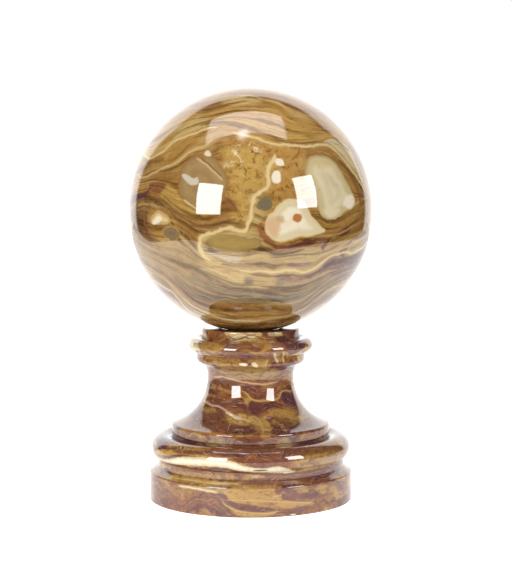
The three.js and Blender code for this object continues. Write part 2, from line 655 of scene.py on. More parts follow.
class BeddingGroup(EffectGroup):
    """Fine beds that follow a bed height: noise that is long across the beds' plane and short through it."""

    title = "Bedding"
    takes = (
        ("Position", "Vector", 0.0),
        ("Height", "Float", 0.0),
        ("Sway", "Float", 0.0),
        ("Pitch", "Float", 30.0),
        ("Length", "Float", 2.0),
    )
    gives = (("Bed", "Float"), ("Lines", "Float"), ("Threads", "Float"))

    def build(self, bench: NodeBench, given: Any) -> dict[str, Any]:
        """The bed height plus its sway stands for the third axis of two stretched noises."""
        bed = bench.math("ADD", given["Height"], given["Sway"])
        across, deep, _ = bench.axes(given["Position"])
        along_x = bench.math("MULTIPLY", across, given["Length"])
        along_y = bench.math("MULTIPLY", deep, given["Length"])
        through = bench.math("MULTIPLY", bed, given["Pitch"])
        made: dict[str, Any] = {"Bed": bed}
        for name, factor, detail in (("Lines", 1.0, 3.0), ("Threads", 3.3, 1.0)):
            joined = bench.node("ShaderNodeCombineXYZ")
            bench.feed(joined.inputs[0], bench.math("MULTIPLY", along_x, math.sqrt(factor)))
            bench.feed(joined.inputs[1], bench.math("MULTIPLY", along_y, math.sqrt(factor)))
            bench.feed(joined.inputs[2], bench.math("MULTIPLY", through, factor))
            made[name] = bench.noise(joined.outputs[0], 1.0, detail, 0.55)
        return made


class VeinGroup(EffectGroup):
    """Turns a field counted in half-widths into a vein's mask, with a wavering edge."""

    title = "Vein edge"
    takes = (
        ("Field", "Float", 60.0),
        ("Wobble", "Float", 0.0),
        ("Ragged", "Float", 1.0),
        ("Softness", "Float", 0.6),
        ("Strength", "Float", 1.0),
    )
    gives = (("Mask", "Float"), ("Halo", "Float"))

    def build(self, bench: NodeBench, given: Any) -> dict[str, Any]:
        """Full inside one half-width, eased out over the softness; the halo runs four times as wide."""
        shifted = bench.math("MULTIPLY_ADD", given["Wobble"], given["Ragged"], given["Field"])
        size = bench.math("ABSOLUTE", shifted)
        inner = bench.math("SUBTRACT", 1.0, given["Softness"])
        outer = bench.math("ADD", 1.0, given["Softness"])
        mask = bench.ease(size, inner, outer, 1.0, 0.0)
        halo = bench.ease(size, 0.5, 4.0, 1.0, 0.0)
        return {
            "Mask": bench.math("MULTIPLY", mask, given["Strength"]),
            "Halo": bench.math("MULTIPLY", halo, given["Strength"]),
        }


class PodGroup(EffectGroup):
    """A pod's mask, its growth rings and its share of the way from rim to heart."""

    title = "Pod growth"
    takes = (
        ("Depth", "Float", -1.0),
        ("Wobble", "Float", 0.0),
        ("Waver", "Float", 0.02),
        ("Edge", "Float", 0.01),
        ("Reach", "Float", 0.1),
        ("Rings", "Float", 40.0),
    )
    gives = (("Mask", "Float"), ("Share", "Float"), ("Ring", "Float"))

    def build(self, bench: NodeBench, given: Any) -> dict[str, Any]:
        """The wavered depth eases in over the edge; the rings are the sine of the depth times a rate."""
        depth = bench.math("MULTIPLY_ADD", given["Wobble"], given["Waver"], given["Depth"])
        mask = bench.ease(depth, bench.math("MULTIPLY", given["Edge"], -1.0), given["Edge"])
        share = bench.math("DIVIDE", depth, given["Reach"], clamp=True)
        turned = bench.math(
            "SINE",
            bench.math("MULTIPLY_ADD", given["Wobble"], 5.0, bench.math("MULTIPLY", depth, given["Rings"])),
        )
        ring = bench.math("MULTIPLY_ADD", turned, 0.5, 0.5)
        return {"Mask": mask, "Share": share, "Ring": ring}


class CloudGroup(EffectGroup):
    """Mottling: a narrow cloud, and the small dark freckles where it is low."""

    title = "Mottling"
    takes = (("Position", "Vector", 0.0), ("Scale", "Float", 4.0))
    gives = (("Mottle", "Float"), ("Freckle", "Float"))

    def build(self, bench: NodeBench, given: Any) -> dict[str, Any]:
        """A twisted noise, four times as fine as the scale, and a sharp ease of its lows."""
        fine_scale = bench.math("MULTIPLY", given["Scale"], 4.0)
        narrow = bench.noise(given["Position"], fine_scale, 4.0, 0.65, 0.6)
        freckle = bench.ease(narrow, 0.30, 0.42, 1.0, 0.0)
        return {"Mottle": narrow, "Freckle": freckle}


class LaceGroup(EffectGroup):
    """A net of broken pale threads: the borders of wavering cells, kept where a noise is high."""

    title = "Lace"
    takes = (
        ("Position", "Vector", 0.0),
        ("Wobble", "Float", 0.0),
        ("Scale", "Float", 14.0),
        ("Width", "Float", 0.06),
    )
    gives = (("Mask", "Float"),)

    def build(self, bench: NodeBench, given: Any) -> dict[str, Any]:
        """Distance to the cells' borders under the width, times an ease of a coarser noise."""
        moved = bench.node("ShaderNodeVectorMath", operation="ADD")
        bench.feed(moved.inputs[0], given["Position"])
        bench.feed(moved.inputs[1], bench.math("MULTIPLY", given["Wobble"], 0.12))
        border = bench.cells(moved.outputs[0], given["Scale"], "DISTANCE_TO_EDGE").outputs["Distance"]
        thread = bench.ease(border, bench.math("MULTIPLY", given["Width"], 0.3), given["Width"], 1.0, 0.0)
        coarse = bench.noise(given["Position"], given["Scale"], 2.0, 0.5)
        return {"Mask": bench.math("MULTIPLY", thread, bench.ease(coarse, 0.42, 0.6))}


class FleckGroup(EffectGroup):
    """Small scattered grains: cells whose own random value is low, cut to small discs."""

    title = "Flecks"
    takes = (
        ("Position", "Vector", 0.0),
        ("Scale", "Float", 40.0),
        ("Size", "Float", 0.25),
        ("Share", "Float", 0.1),
    )
    gives = (("Mask", "Float"),)

    def build(self, bench: NodeBench, given: Any) -> dict[str, Any]:
        """A disc of the size at each cell's middle, for the share of cells with the lowest value."""
        cell = bench.cells(given["Position"], given["Scale"], "F1")
        disc = bench.ease(
            cell.outputs["Distance"], bench.math("MULTIPLY", given["Size"], 0.5), given["Size"], 1.0, 0.0
        )
        parts = bench.node("ShaderNodeSeparateColor")
        bench.feed(parts.inputs[0], cell.outputs["Color"])
        kept = bench.math("LESS_THAN", parts.outputs[0], given["Share"])
        return {"Mask": bench.math("MULTIPLY", disc, kept)}


class PolishGroup(EffectGroup):
    """A hand-rubbed polish: roughness that drifts a little, and a faint waviness of the surface."""

    title = "Polish"
    takes = (("Position", "Vector", 0.0), ("Gloss", "Float", 0.04), ("Drift", "Float", 0.03))
    gives = (("Roughness", "Float"), ("Height", "Float"))

    def build(self, bench: NodeBench, given: Any) -> dict[str, Any]:
        """The gloss plus the drift times a cloud, and a very fine grain for the height."""
        cloud = bench.noise(given["Position"], 5.0, 3.0, 0.6)
        grain = bench.noise(given["Position"], 34.0, 2.0, 0.5)
        rough = bench.math("MULTIPLY_ADD", cloud, given["Drift"], given["Gloss"])
        return {"Roughness": rough, "Height": bench.math("MULTIPLY_ADD", cloud, 0.5, grain)}


# ---- The ball's stone: places are (x, height) on its face, in shares of its radius ---------------

BALL_BEDS: tuple[Bed, ...] = (
    Bed(-1.05, ((-1, -1.05), (1, -1.05))),
    Bed(-0.92, ((-1, -0.48), (-0.8, -0.57), (-0.7, -0.62), (-0.6, -0.69), (-0.5, -0.8), (-0.4, -0.86),
        (-0.2, -0.9), (0, -0.915), (0.2, -0.905), (0.35, -0.87), (0.5, -0.79), (0.62, -0.71), (0.75, -0.64),
        (1, -0.5))),
    Bed(-0.86, ((-1, -0.42), (-0.8, -0.5), (-0.65, -0.6), (-0.5, -0.74), (-0.4, -0.8), (-0.3, -0.84),
        (-0.1, -0.875), (0.1, -0.87), (0.3, -0.84), (0.43, -0.79), (0.53, -0.7), (0.65, -0.61),
        (0.8, -0.56), (1, -0.42))),
    Bed(-0.76, ((-1, -0.34), (-0.8, -0.43), (-0.6, -0.56), (-0.45, -0.68), (-0.3, -0.745), (-0.1, -0.76),
        (0.1, -0.765), (0.3, -0.79), (0.42, -0.75), (0.55, -0.64), (0.7, -0.56), (0.85, -0.5), (1, -0.36))),
    Bed(-0.56, ((-1, -0.22), (-0.8, -0.31), (-0.6, -0.38), (-0.5, -0.42), (-0.4, -0.45), (-0.3, -0.505),
        (-0.2, -0.545), (-0.1, -0.575), (0, -0.58), (0.15, -0.6), (0.3, -0.605), (0.45, -0.58),
        (0.6, -0.52), (0.75, -0.47), (0.9, -0.42), (1, -0.3))),
    Bed(-0.46, ((-1, -0.16), (-0.8, -0.23), (-0.6, -0.27), (-0.5, -0.33), (-0.4, -0.41), (-0.3, -0.44),
        (-0.1, -0.46), (0.1, -0.478), (0.2, -0.482), (0.3, -0.47), (0.4, -0.485), (0.5, -0.455),
        (0.58, -0.4), (0.65, -0.36), (0.75, -0.34), (0.8, -0.347), (0.9, -0.3), (1, -0.2))),
    Bed(-0.32, ((-1, -0.1), (-0.8, -0.17), (-0.6, -0.18), (-0.5, -0.22), (-0.42, -0.3), (-0.3, -0.33),
        (-0.2, -0.32), (-0.1, -0.335), (0, -0.33), (0.1, -0.31), (0.2, -0.345), (0.3, -0.33), (0.4, -0.305),
        (0.6, -0.3), (0.7, -0.27), (0.8, -0.235), (0.9, -0.185), (1, -0.1))),
    Bed(-0.06, ((-1, 0.05), (-0.9, 0.09), (-0.8, 0.11), (-0.7, 0.08), (-0.6, 0), (-0.5, -0.06),
        (-0.4, -0.1), (-0.3, -0.1), (-0.2, -0.08), (-0.1, -0.08), (0, -0.1), (0.1, -0.15), (0.2, -0.18),
        (0.35, -0.16), (0.5, -0.13), (0.6, -0.15), (0.7, -0.12), (0.8, -0.05), (0.9, 0.04), (1, 0.08))),
    Bed(0.46, ((-1, 0.2), (-0.9, 0.265), (-0.85, 0.255), (-0.75, 0.3), (-0.6, 0.345), (-0.53, 0.4),
        (-0.45, 0.46), (-0.33, 0.5), (-0.25, 0.54), (-0.1, 0.555), (0, 0.54), (0.1, 0.51), (0.2, 0.49),
        (0.4, 0.475), (0.5, 0.485), (0.6, 0.47), (0.68, 0.41), (0.75, 0.35), (0.85, 0.22), (0.92, 0.1),
        (1, 0.02))),
    Bed(0.53, ((-1, 0.35), (-0.85, 0.43), (-0.8, 0.405), (-0.7, 0.455), (-0.6, 0.53), (-0.5, 0.575),
        (-0.37, 0.63), (-0.2, 0.63), (0, 0.575), (0.1, 0.54), (0.2, 0.51), (0.4, 0.5), (0.55, 0.52),
        (0.62, 0.55), (0.7, 0.53), (0.8, 0.44), (0.88, 0.3), (0.95, 0.15), (1, 0.07))),
    Bed(0.74, ((-1, 0.5), (-0.6, 0.68), (-0.5, 0.72), (-0.35, 0.72), (-0.2, 0.76), (0, 0.8), (0.2, 0.79),
        (0.3, 0.71), (0.5, 0.65), (0.65, 0.6), (0.8, 0.5), (1, 0.3))),
    Bed(0.88, ((-1, 0.62), (-0.6, 0.78), (-0.3, 0.84), (-0.1, 0.88), (0.1, 0.88), (0.3, 0.85), (0.5, 0.76),
        (0.7, 0.62), (1, 0.42))),
    Bed(1.05, ((-1, 1.05), (1, 1.05))),
)

BALL_BED_TONES: tuple[tuple[float, Tone], ...] = (
    (-1.05, Tone.UMBER), (-0.985, Tone.BROWN), (-0.955, Tone.OCHRE), (-0.925, Tone.UMBER),
    (-0.905, Tone.OCHRE), (-0.865, Tone.SAND), (-0.845, Tone.BROWN), (-0.825, Tone.OCHRE),
    (-0.80, Tone.UMBER), (-0.77, Tone.BROWN), (-0.745, Tone.TAUPE), (-0.70, Tone.TAN), (-0.66, Tone.TAUPE),
    (-0.60, Tone.TAN), (-0.57, Tone.TAUPE), (-0.54, Tone.SAND), (-0.47, Tone.SAND), (-0.44, Tone.TAN),
    (-0.38, Tone.SAND), (-0.335, Tone.OLIVE), (-0.31, Tone.BROWN), (-0.28, Tone.OCHRE), (-0.12, Tone.BROWN),
    (-0.02, Tone.OCHRE), (0.22, Tone.OCHRE), (0.40, Tone.BROWN), (0.50, Tone.OCHRE), (0.56, Tone.GOLD),
    (0.72, Tone.OCHRE), (0.84, Tone.BROWN), (0.92, Tone.OCHRE), (1.05, Tone.BROWN),
)

BALL_GROUND: tuple[Patch, ...] = (
    Patch(Tone.BROWN, 0.04, ((0, 0.96), (0.15, 0.94), (0.3, 0.9), (0.4, 0.84), (0.5, 0.76), (0.6, 0.67),
        (0.66, 0.6), (0.6, 0.6), (0.5, 0.68), (0.4, 0.77), (0.3, 0.83), (0.15, 0.87), (0, 0.9)), 0.9),
    Patch(Tone.BROWN, 0.03, ((-0.42, 0.81), (-0.3, 0.87), (-0.24, 0.89), (-0.22, 0.83), (-0.3, 0.78),
        (-0.38, 0.78))),
    Patch(Tone.STRAW, 0.03, ((-0.22, 0.87), (-0.1, 0.9), (0.03, 0.88), (0.1, 0.85), (0.05, 0.82),
        (-0.1, 0.815), (-0.2, 0.82)), 0.8),
    Patch(Tone.STRAW, 0.05, ((-0.62, 0.6), (-0.5, 0.7), (-0.38, 0.74), (-0.3, 0.68), (-0.38, 0.63),
        (-0.5, 0.59), (-0.6, 0.55)), 0.75),
    Patch(Tone.BONE, 0.02, ((0.57, 0.53), (0.65, 0.565), (0.72, 0.54), (0.8, 0.46), (0.86, 0.35),
        (0.9, 0.22), (0.87, 0.24), (0.82, 0.31), (0.76, 0.38), (0.7, 0.45), (0.64, 0.5)), 0.9),
    Patch(Tone.TAUPE, 0.025, ((0.78, 0.5), (0.86, 0.38), (0.92, 0.24), (0.95, 0.22), (0.92, 0.34),
        (0.86, 0.46), (0.8, 0.54)), 0.8),
    Patch(Tone.BROWN, 0.03, ((0.66, 0.41), (0.72, 0.35), (0.78, 0.26), (0.83, 0.16), (0.86, 0.06),
        (0.84, -0.03), (0.9, -0.03), (0.93, 0.05), (0.91, 0.14), (0.87, 0.22), (0.82, 0.29), (0.76, 0.36),
        (0.7, 0.43))),
    Patch(Tone.OCHRE, 0.025, ((0.44, 0.06), (0.5, 0.06), (0.53, -0.03), (0.58, -0.08), (0.65, -0.09),
        (0.72, -0.05), (0.8, -0.01), (0.86, -0.04), (0.8, -0.1), (0.72, -0.14), (0.62, -0.17),
        (0.54, -0.14), (0.48, -0.06))),
    Patch(Tone.BROWN, 0.04, ((0.75, -0.1), (0.85, -0.06), (0.93, 0), (0.95, -0.1), (0.9, -0.17),
        (0.8, -0.22), (0.7, -0.2), (0.68, -0.16)), 0.7),
    Patch(Tone.GOLD, 0.06, ((-0.2, 0.5), (-0.1, 0.52), (0.05, 0.5), (0.12, 0.42), (0.12, 0.3), (0.12, 0.2),
        (0.05, 0.12), (0, 0.05), (-0.02, -0.08), (-0.1, -0.1), (-0.15, -0.05), (-0.1, 0.05), (-0.17, 0.12),
        (-0.16, 0.25), (-0.2, 0.35), (-0.25, 0.45)), 0.85),
    Patch(Tone.AMBER, 0.04, ((0.15, 0.43), (0.3, 0.47), (0.42, 0.46), (0.42, 0.33), (0.33, 0.28),
        (0.36, 0.1), (0.28, 0.07), (0.2, 0.05), (0.17, 0.12), (0.16, 0.25)), 0.9),
    Patch(Tone.AMBER, 0.03, ((-0.25, 0.53), (-0.1, 0.555), (0.1, 0.505), (0.25, 0.48), (0.4, 0.47),
        (0.4, 0.43), (0.25, 0.42), (0.1, 0.44), (-0.05, 0.49), (-0.2, 0.5)), 0.8),
    Patch(Tone.BROWN, 0.03, ((-0.9, 0.24), (-0.75, 0.28), (-0.6, 0.31), (-0.56, 0.26), (-0.65, 0.21),
        (-0.85, 0.21)), 0.7),
    Patch(Tone.GOLD, 0.03, ((-0.68, 0.19), (-0.6, 0.17), (-0.55, 0.1), (-0.5, 0.03), (-0.42, -0.02),
        (-0.35, -0.05), (-0.45, -0.07), (-0.55, -0.02), (-0.62, 0.05), (-0.7, 0.1), (-0.69, 0.15))),
    Patch(Tone.UMBER, 0.04, ((-0.96, 0), (-0.85, 0.08), (-0.75, 0.08), (-0.68, 0.04), (-0.63, -0.03),
        (-0.68, 0), (-0.77, 0.01), (-0.81, -0.08), (-0.79, -0.18), (-0.73, -0.23), (-0.8, -0.27),
        (-0.92, -0.2)), 0.75),
    Patch(Tone.OCHRE, 0.03, ((-0.77, -0.13), (-0.68, -0.14), (-0.66, -0.2), (-0.7, -0.24), (-0.76, -0.21))),
    Patch(Tone.BROWN, 0.03, ((-0.6, -0.06), (-0.5, -0.1), (-0.4, -0.13), (-0.25, -0.11), (-0.1, -0.09),
        (-0.03, -0.12), (-0.1, -0.14), (-0.2, -0.13), (-0.32, -0.18), (-0.4, -0.2), (-0.42, -0.28),
        (-0.5, -0.25), (-0.56, -0.15)), 0.8),
    Patch(Tone.TAN, 0.06, ((-0.92, -0.26), (-0.7, -0.27), (-0.5, -0.26), (-0.4, -0.3), (-0.38, -0.4),
        (-0.45, -0.5), (-0.6, -0.55), (-0.75, -0.5), (-0.87, -0.38)), 0.7),
    Patch(Tone.OLIVE, 0.05, ((-0.58, -0.42), (-0.48, -0.38), (-0.44, -0.45), (-0.5, -0.52)), 0.6),
    Patch(Tone.SAND, 0.03, ((-0.38, -0.22), (-0.3, -0.2), (-0.15, -0.17), (-0.03, -0.18), (0.02, -0.1),
        (0.03, 0.02), (0.06, 0.1), (0.11, 0.1), (0.11, -0.02), (0.08, -0.12), (0.09, -0.22), (0.15, -0.28),
        (0.05, -0.3), (-0.1, -0.31), (-0.25, -0.3), (-0.36, -0.27))),
    Patch(Tone.STRAW, 0.02, ((-0.4, -0.25), (-0.36, -0.22), (-0.33, -0.28), (-0.33, -0.33), (-0.28, -0.38),
        (-0.2, -0.42), (-0.3, -0.43), (-0.38, -0.36))),
    Patch(Tone.SAND, 0.03, ((-0.25, -0.3), (0, -0.33), (0.1, -0.33), (0.2, -0.36), (0.4, -0.34),
        (0.55, -0.3), (0.65, -0.28), (0.6, -0.33), (0.45, -0.38), (0.2, -0.4), (0, -0.38), (-0.2, -0.35))),
    Patch(Tone.MAUVE, 0.03, ((-0.1, -0.42), (0.1, -0.41), (0.3, -0.42), (0.5, -0.4), (0.45, -0.45),
        (0.3, -0.45), (-0.1, -0.45)), 0.4),
    Patch(Tone.MAUVE, 0.02, ((0.3, -0.41), (0.45, -0.4), (0.46, -0.43), (0.32, -0.44)), 0.8),
    Patch(Tone.SAND, 0.04, ((0, -0.49), (0.2, -0.49), (0.22, -0.55), (0.2, -0.6), (0, -0.62),
        (-0.05, -0.55))),
    Patch(Tone.MAUVE, 0.05, ((0.22, -0.5), (0.4, -0.5), (0.5, -0.47), (0.6, -0.4), (0.6, -0.5),
        (0.5, -0.57), (0.35, -0.6), (0.22, -0.58)), 0.7),
    Patch(Tone.MAUVE, 0.03, ((0.58, -0.4), (0.65, -0.365), (0.78, -0.36), (0.9, -0.32), (0.96, -0.27),
        (0.9, -0.42), (0.8, -0.5), (0.7, -0.52), (0.6, -0.5)), 0.9),
    Patch(Tone.TAUPE, 0.04, ((0.5, -0.58), (0.65, -0.55), (0.8, -0.52), (0.75, -0.62), (0.6, -0.72),
        (0.5, -0.8), (0.4, -0.78), (0.5, -0.68)), 0.6),
    Patch(Tone.SLATE, 0.04, ((-0.1, -0.65), (0.1, -0.66), (0.35, -0.66), (0.5, -0.62), (0.45, -0.7),
        (0.3, -0.74), (0.1, -0.74), (-0.1, -0.72)), 0.6),
    Patch(Tone.STRAW, 0.012, ((-0.39, -0.45), (-0.3, -0.455), (-0.1, -0.45), (0, -0.46), (0, -0.53),
        (-0.05, -0.575), (-0.12, -0.57), (-0.2, -0.545), (-0.28, -0.51), (-0.35, -0.485))),
    Patch(Tone.SLATE, 0.02, ((-0.05, -0.53), (0, -0.52), (0.02, -0.57), (-0.03, -0.59)), 0.7),
    Patch(Tone.SLATE, 0.02, ((0.19, -0.58), (0.25, -0.54), (0.28, -0.57), (0.22, -0.6)), 0.7),
    Patch(Tone.ROSE, 0.02, ((0.48, -0.22), (0.54, -0.21), (0.6, -0.22), (0.6, -0.26), (0.53, -0.27)), 0.7),
    Patch(Tone.RUST, 0.015, ((-0.8, 0.19), (-0.76, 0.215), (-0.7, 0.215), (-0.66, 0.2), (-0.68, 0.15),
        (-0.72, 0.125), (-0.78, 0.14)), 0.9),
    Patch(Tone.WINE, 0.02, ((-0.96, 0.11), (-0.88, 0.13), (-0.82, 0.12), (-0.86, 0.09), (-0.92, 0.06),
        (-0.97, 0.03)), 0.8),
    Patch(Tone.MAROON, 0.012, ((0.12, -0.22), (0.16, -0.25), (0.2, -0.272), (0.28, -0.272), (0.36, -0.25),
        (0.43, -0.232), (0.49, -0.235), (0.51, -0.25), (0.47, -0.275), (0.4, -0.29), (0.33, -0.3),
        (0.25, -0.305), (0.19, -0.3), (0.14, -0.27), (0.1, -0.24))),
    Patch(Tone.MAROON, 0.012, ((0.63, -0.205), (0.7, -0.17), (0.76, -0.14), (0.79, -0.15), (0.76, -0.185),
        (0.7, -0.205))),
    Patch(Tone.MAROON, 0.012, ((0.8, -0.24), (0.87, -0.205), (0.91, -0.17), (0.93, -0.19), (0.86, -0.235)),
        0.9),
    Patch(Tone.DUSK, 0.012, ((-0.04, -0.29), (0, -0.272), (0.05, -0.285), (0.11, -0.3), (0.12, -0.32),
        (0.04, -0.315))),
    # Pale streak where the table's front edge is reflected in the ball: a painted reflection of that edge.
    Patch(Tone.PEARL, 0.014, ((-0.34, -0.32), (-0.3, -0.33), (-0.22, -0.355), (-0.1, -0.365),
        (-0.06, -0.385), (-0.1, -0.41), (-0.17, -0.4), (-0.25, -0.37), (-0.31, -0.345)), 0.8),
    Patch(Tone.GOLD, 0.12, ((-0.7, 0.3), (-0.2, 0.5), (0.3, 0.3), (0.4, -0.1), (0, -0.3), (-0.5, -0.2)),
        0.5, Face.BACK),
    Patch(Tone.MAUVE, 0.08, ((-0.8, -0.4), (-0.4, -0.5), (0.1, -0.5), (0, -0.62), (-0.5, -0.65)), 0.6,
        Face.BACK),
    Patch(Tone.BROWN, 0.06, ((0.1, 0.55), (0.5, 0.45), (0.75, 0.2), (0.6, 0.2), (0.3, 0.4)), 0.7,
        Face.BACK),
    Patch(Tone.STRAW, 0.05, ((-0.6, -0.2), (-0.3, -0.25), (0.1, -0.3), (0.3, -0.35), (0, -0.4),
        (-0.5, -0.3)), 0.7, Face.BACK),
)

BALL_INLAY: tuple[Patch, ...] = (
    Patch(Tone.PEACH, 0.04, ((0.1, -0.12), (0.15, -0.05), (0.22, -0.06), (0.24, -0.13), (0.2, -0.22),
        (0.14, -0.2)), 0.75),
    Patch(Tone.SAND, 0.02, ((0.2, -0.05), (0.26, -0.04), (0.27, -0.09), (0.22, -0.1)), 0.55),
    Patch(Tone.ORANGE, 0.014, ((0.33, -0.04), (0.36, -0.03), (0.395, -0.045), (0.39, -0.085), (0.36, -0.1),
        (0.325, -0.08))),
    Patch(Tone.STRAW, 0.04, ((0.5, 0.38), (0.58, 0.39), (0.62, 0.33), (0.57, 0.3), (0.5, 0.33)), 0.5),
    Patch(Tone.TAN, 0.05, ((0.55, 0.28), (0.66, 0.28), (0.7, 0.16), (0.62, 0.16), (0.56, 0.2)), 0.35),
    Patch(Tone.WHITE, 0.03, ((0.74, 0.1), (0.8, 0.12), (0.82, 0.05), (0.78, 0), (0.72, 0.03)), 0.8),
    Patch(Tone.IVORY, 0.03, ((0.56, 0), (0.64, 0.02), (0.71, 0), (0.66, -0.06), (0.6, -0.06)), 0.8),
    Patch(Tone.PEARL, 0.014, ((-0.535, 0.265), (-0.5, 0.275), (-0.44, 0.24), (-0.41, 0.25), (-0.4, 0.2),
        (-0.45, 0.185), (-0.49, 0.21))),
    Patch(Tone.WHITE, 0.014, ((-0.775, -0.105), (-0.74, -0.06), (-0.71, -0.05), (-0.69, -0.07),
        (-0.71, -0.1), (-0.75, -0.115))),
    Patch(Tone.WHITE, 0.014, ((0.18, 0.385), (0.215, 0.395), (0.25, 0.38), (0.255, 0.34), (0.215, 0.335),
        (0.19, 0.355))),
    Patch(Tone.WHITE, 0.014, ((0.165, 0.27), (0.19, 0.3), (0.225, 0.29), (0.235, 0.24), (0.22, 0.205),
        (0.175, 0.205), (0.16, 0.235))),
    Patch(Tone.IVORY, 0.014, ((-0.36, 0.43), (-0.33, 0.46), (-0.3, 0.42), (-0.33, 0.41))),
    Patch(Tone.RUST, 0.025, ((-0.21, 0.1), (-0.15, 0.09), (-0.1, 0.03), (-0.1, -0.03), (-0.16, -0.01),
        (-0.2, 0.03)), 0.6),
    Patch(Tone.WHITE, 0.02, ((-0.3, 0.12), (-0.22, 0.16), (-0.16, 0.1), (-0.2, 0.03), (-0.28, 0.05)), 0.8,
        Face.BACK),
)

BALL_GRANULAR: tuple[Patch, ...] = (
    Patch(Tone.GOLD, 0.06, ((-0.22, 0.5), (-0.1, 0.53), (0.1, 0.5), (0.4, 0.46), (0.42, 0.33), (0.35, 0.1),
        (0.2, 0.05), (0.1, 0.12), (0, 0.05), (-0.02, -0.08), (-0.12, -0.08), (-0.1, 0.05), (-0.17, 0.12),
        (-0.16, 0.25), (-0.2, 0.35))),
    Patch(Tone.GOLD, 0.06, ((-0.36, -0.23), (-0.1, -0.2), (0.06, -0.24), (0.03, -0.31), (-0.2, -0.31)),
        0.8),
    Patch(Tone.GOLD, 0.12, ((-0.5, 0.3), (0, 0.4), (0.3, 0.2), (0.2, -0.1), (-0.3, -0.1)), 0.9, Face.BACK),
)

BALL_LACE: tuple[Patch, ...] = (
    Patch(Tone.WHITE, 0.03, ((-0.2, 0.33), (-0.17, 0.3), (-0.12, 0.33), (-0.1, 0.29), (-0.08, 0.35),
        (-0.02, 0.4), (0.05, 0.44), (0.04, 0.49), (-0.03, 0.51), (-0.1, 0.49), (-0.14, 0.44),
        (-0.16, 0.38))),
    Patch(Tone.WHITE, 0.05, ((0.1, 0.35), (0.3, 0.3), (0.35, 0.15), (0.2, 0.1), (0.1, 0.2)), 1.0,
        Face.BACK),
)

BALL_PODS: tuple[Pod, ...] = (
    Pod("ball pod glass", ((-0.55, 0.25), (-0.53, 0.33), (-0.46, 0.39), (-0.4, 0.41), (-0.3, 0.405),
        (-0.25, 0.37), (-0.2, 0.3), (-0.17, 0.22), (-0.19, 0.12), (-0.23, 0.04), (-0.32, 0), (-0.42, 0.02),
        (-0.5, 0.06), (-0.56, 0.13)), Tone.BROWN, Tone.GLASS, Tone.TAN, 0.10, 60.0),
    Pod("ball pod pale", ((0.43, 0.36), (0.46, 0.41), (0.53, 0.425), (0.6, 0.41), (0.66, 0.37), (0.71, 0.3),
        (0.76, 0.21), (0.81, 0.12), (0.825, 0.05), (0.8, 0.01), (0.74, -0.02), (0.69, -0.06), (0.63, -0.08),
        (0.57, -0.065), (0.53, -0.02), (0.51, 0.05), (0.49, 0.12), (0.45, 0.2), (0.42, 0.28)), Tone.SAND,
        Tone.BONE, Tone.IVORY, 0.10, 55.0),
    Pod("ball pod ivory", ((0.17, -0.02), (0.2, 0.02), (0.25, 0.07), (0.3, 0.085), (0.35, 0.08),
        (0.4, 0.07), (0.43, 0.03), (0.46, -0.03), (0.5, -0.08), (0.55, -0.13), (0.58, -0.17), (0.5, -0.2),
        (0.45, -0.21), (0.38, -0.21), (0.3, -0.235), (0.22, -0.25), (0.17, -0.23), (0.12, -0.19),
        (0.11, -0.13), (0.12, -0.08), (0.14, -0.04)), Tone.CREAM, Tone.IVORY, Tone.WHITE, 0.08, 50.0),
    Pod("ball pod eye", ((-0.79, -0.1), (-0.77, -0.04), (-0.73, -0.005), (-0.68, -0.02), (-0.64, -0.05),
        (-0.62, -0.09), (-0.65, -0.12), (-0.7, -0.12), (-0.75, -0.12)), Tone.OCHRE, Tone.STRAW, Tone.CREAM,
        0.035, 120.0),
    Pod("ball pod grey", ((-0.67, -0.14), (-0.61, -0.125), (-0.56, -0.16), (-0.55, -0.21), (-0.6, -0.25),
        (-0.66, -0.22), (-0.69, -0.18)), Tone.SAND, Tone.TAUPE, Tone.MAUVE, 0.05, 90.0),
    Pod("ball pod olive", ((-0.33, -0.25), (-0.3, -0.205), (-0.2, -0.19), (-0.1, -0.2), (-0.02, -0.22),
        (0.04, -0.22), (0.08, -0.25), (0.06, -0.3), (-0.05, -0.31), (-0.12, -0.335), (-0.2, -0.32),
        (-0.28, -0.3)), Tone.MOSS, Tone.OLIVE, Tone.OLIVE, 0.04, 80.0),
    Pod("ball pod mineral", ((0.04, 0.03), (0.07, 0.08), (0.12, 0.1), (0.16, 0.08), (0.17, 0.02),
        (0.14, -0.01), (0.08, -0.01)), Tone.SAND, Tone.MOSS, Tone.SLATE, 0.03, 120.0),
    Pod("ball pod back pale", ((-0.55, 0.2), (-0.4, 0.38), (-0.15, 0.4), (0.02, 0.26), (0.05, 0.05),
        (-0.1, -0.08), (-0.35, -0.1), (-0.52, 0.02)), Tone.TAN, Tone.BONE, Tone.IVORY, 0.12, 55.0,
        Face.BACK),
    Pod("ball pod back glass", ((0.45, 0), (0.5, 0.14), (0.66, 0.2), (0.8, 0.1), (0.8, -0.06),
        (0.65, -0.14), (0.5, -0.1)), Tone.BROWN, Tone.GLASS, Tone.SAND, 0.10, 70.0, Face.BACK),
)

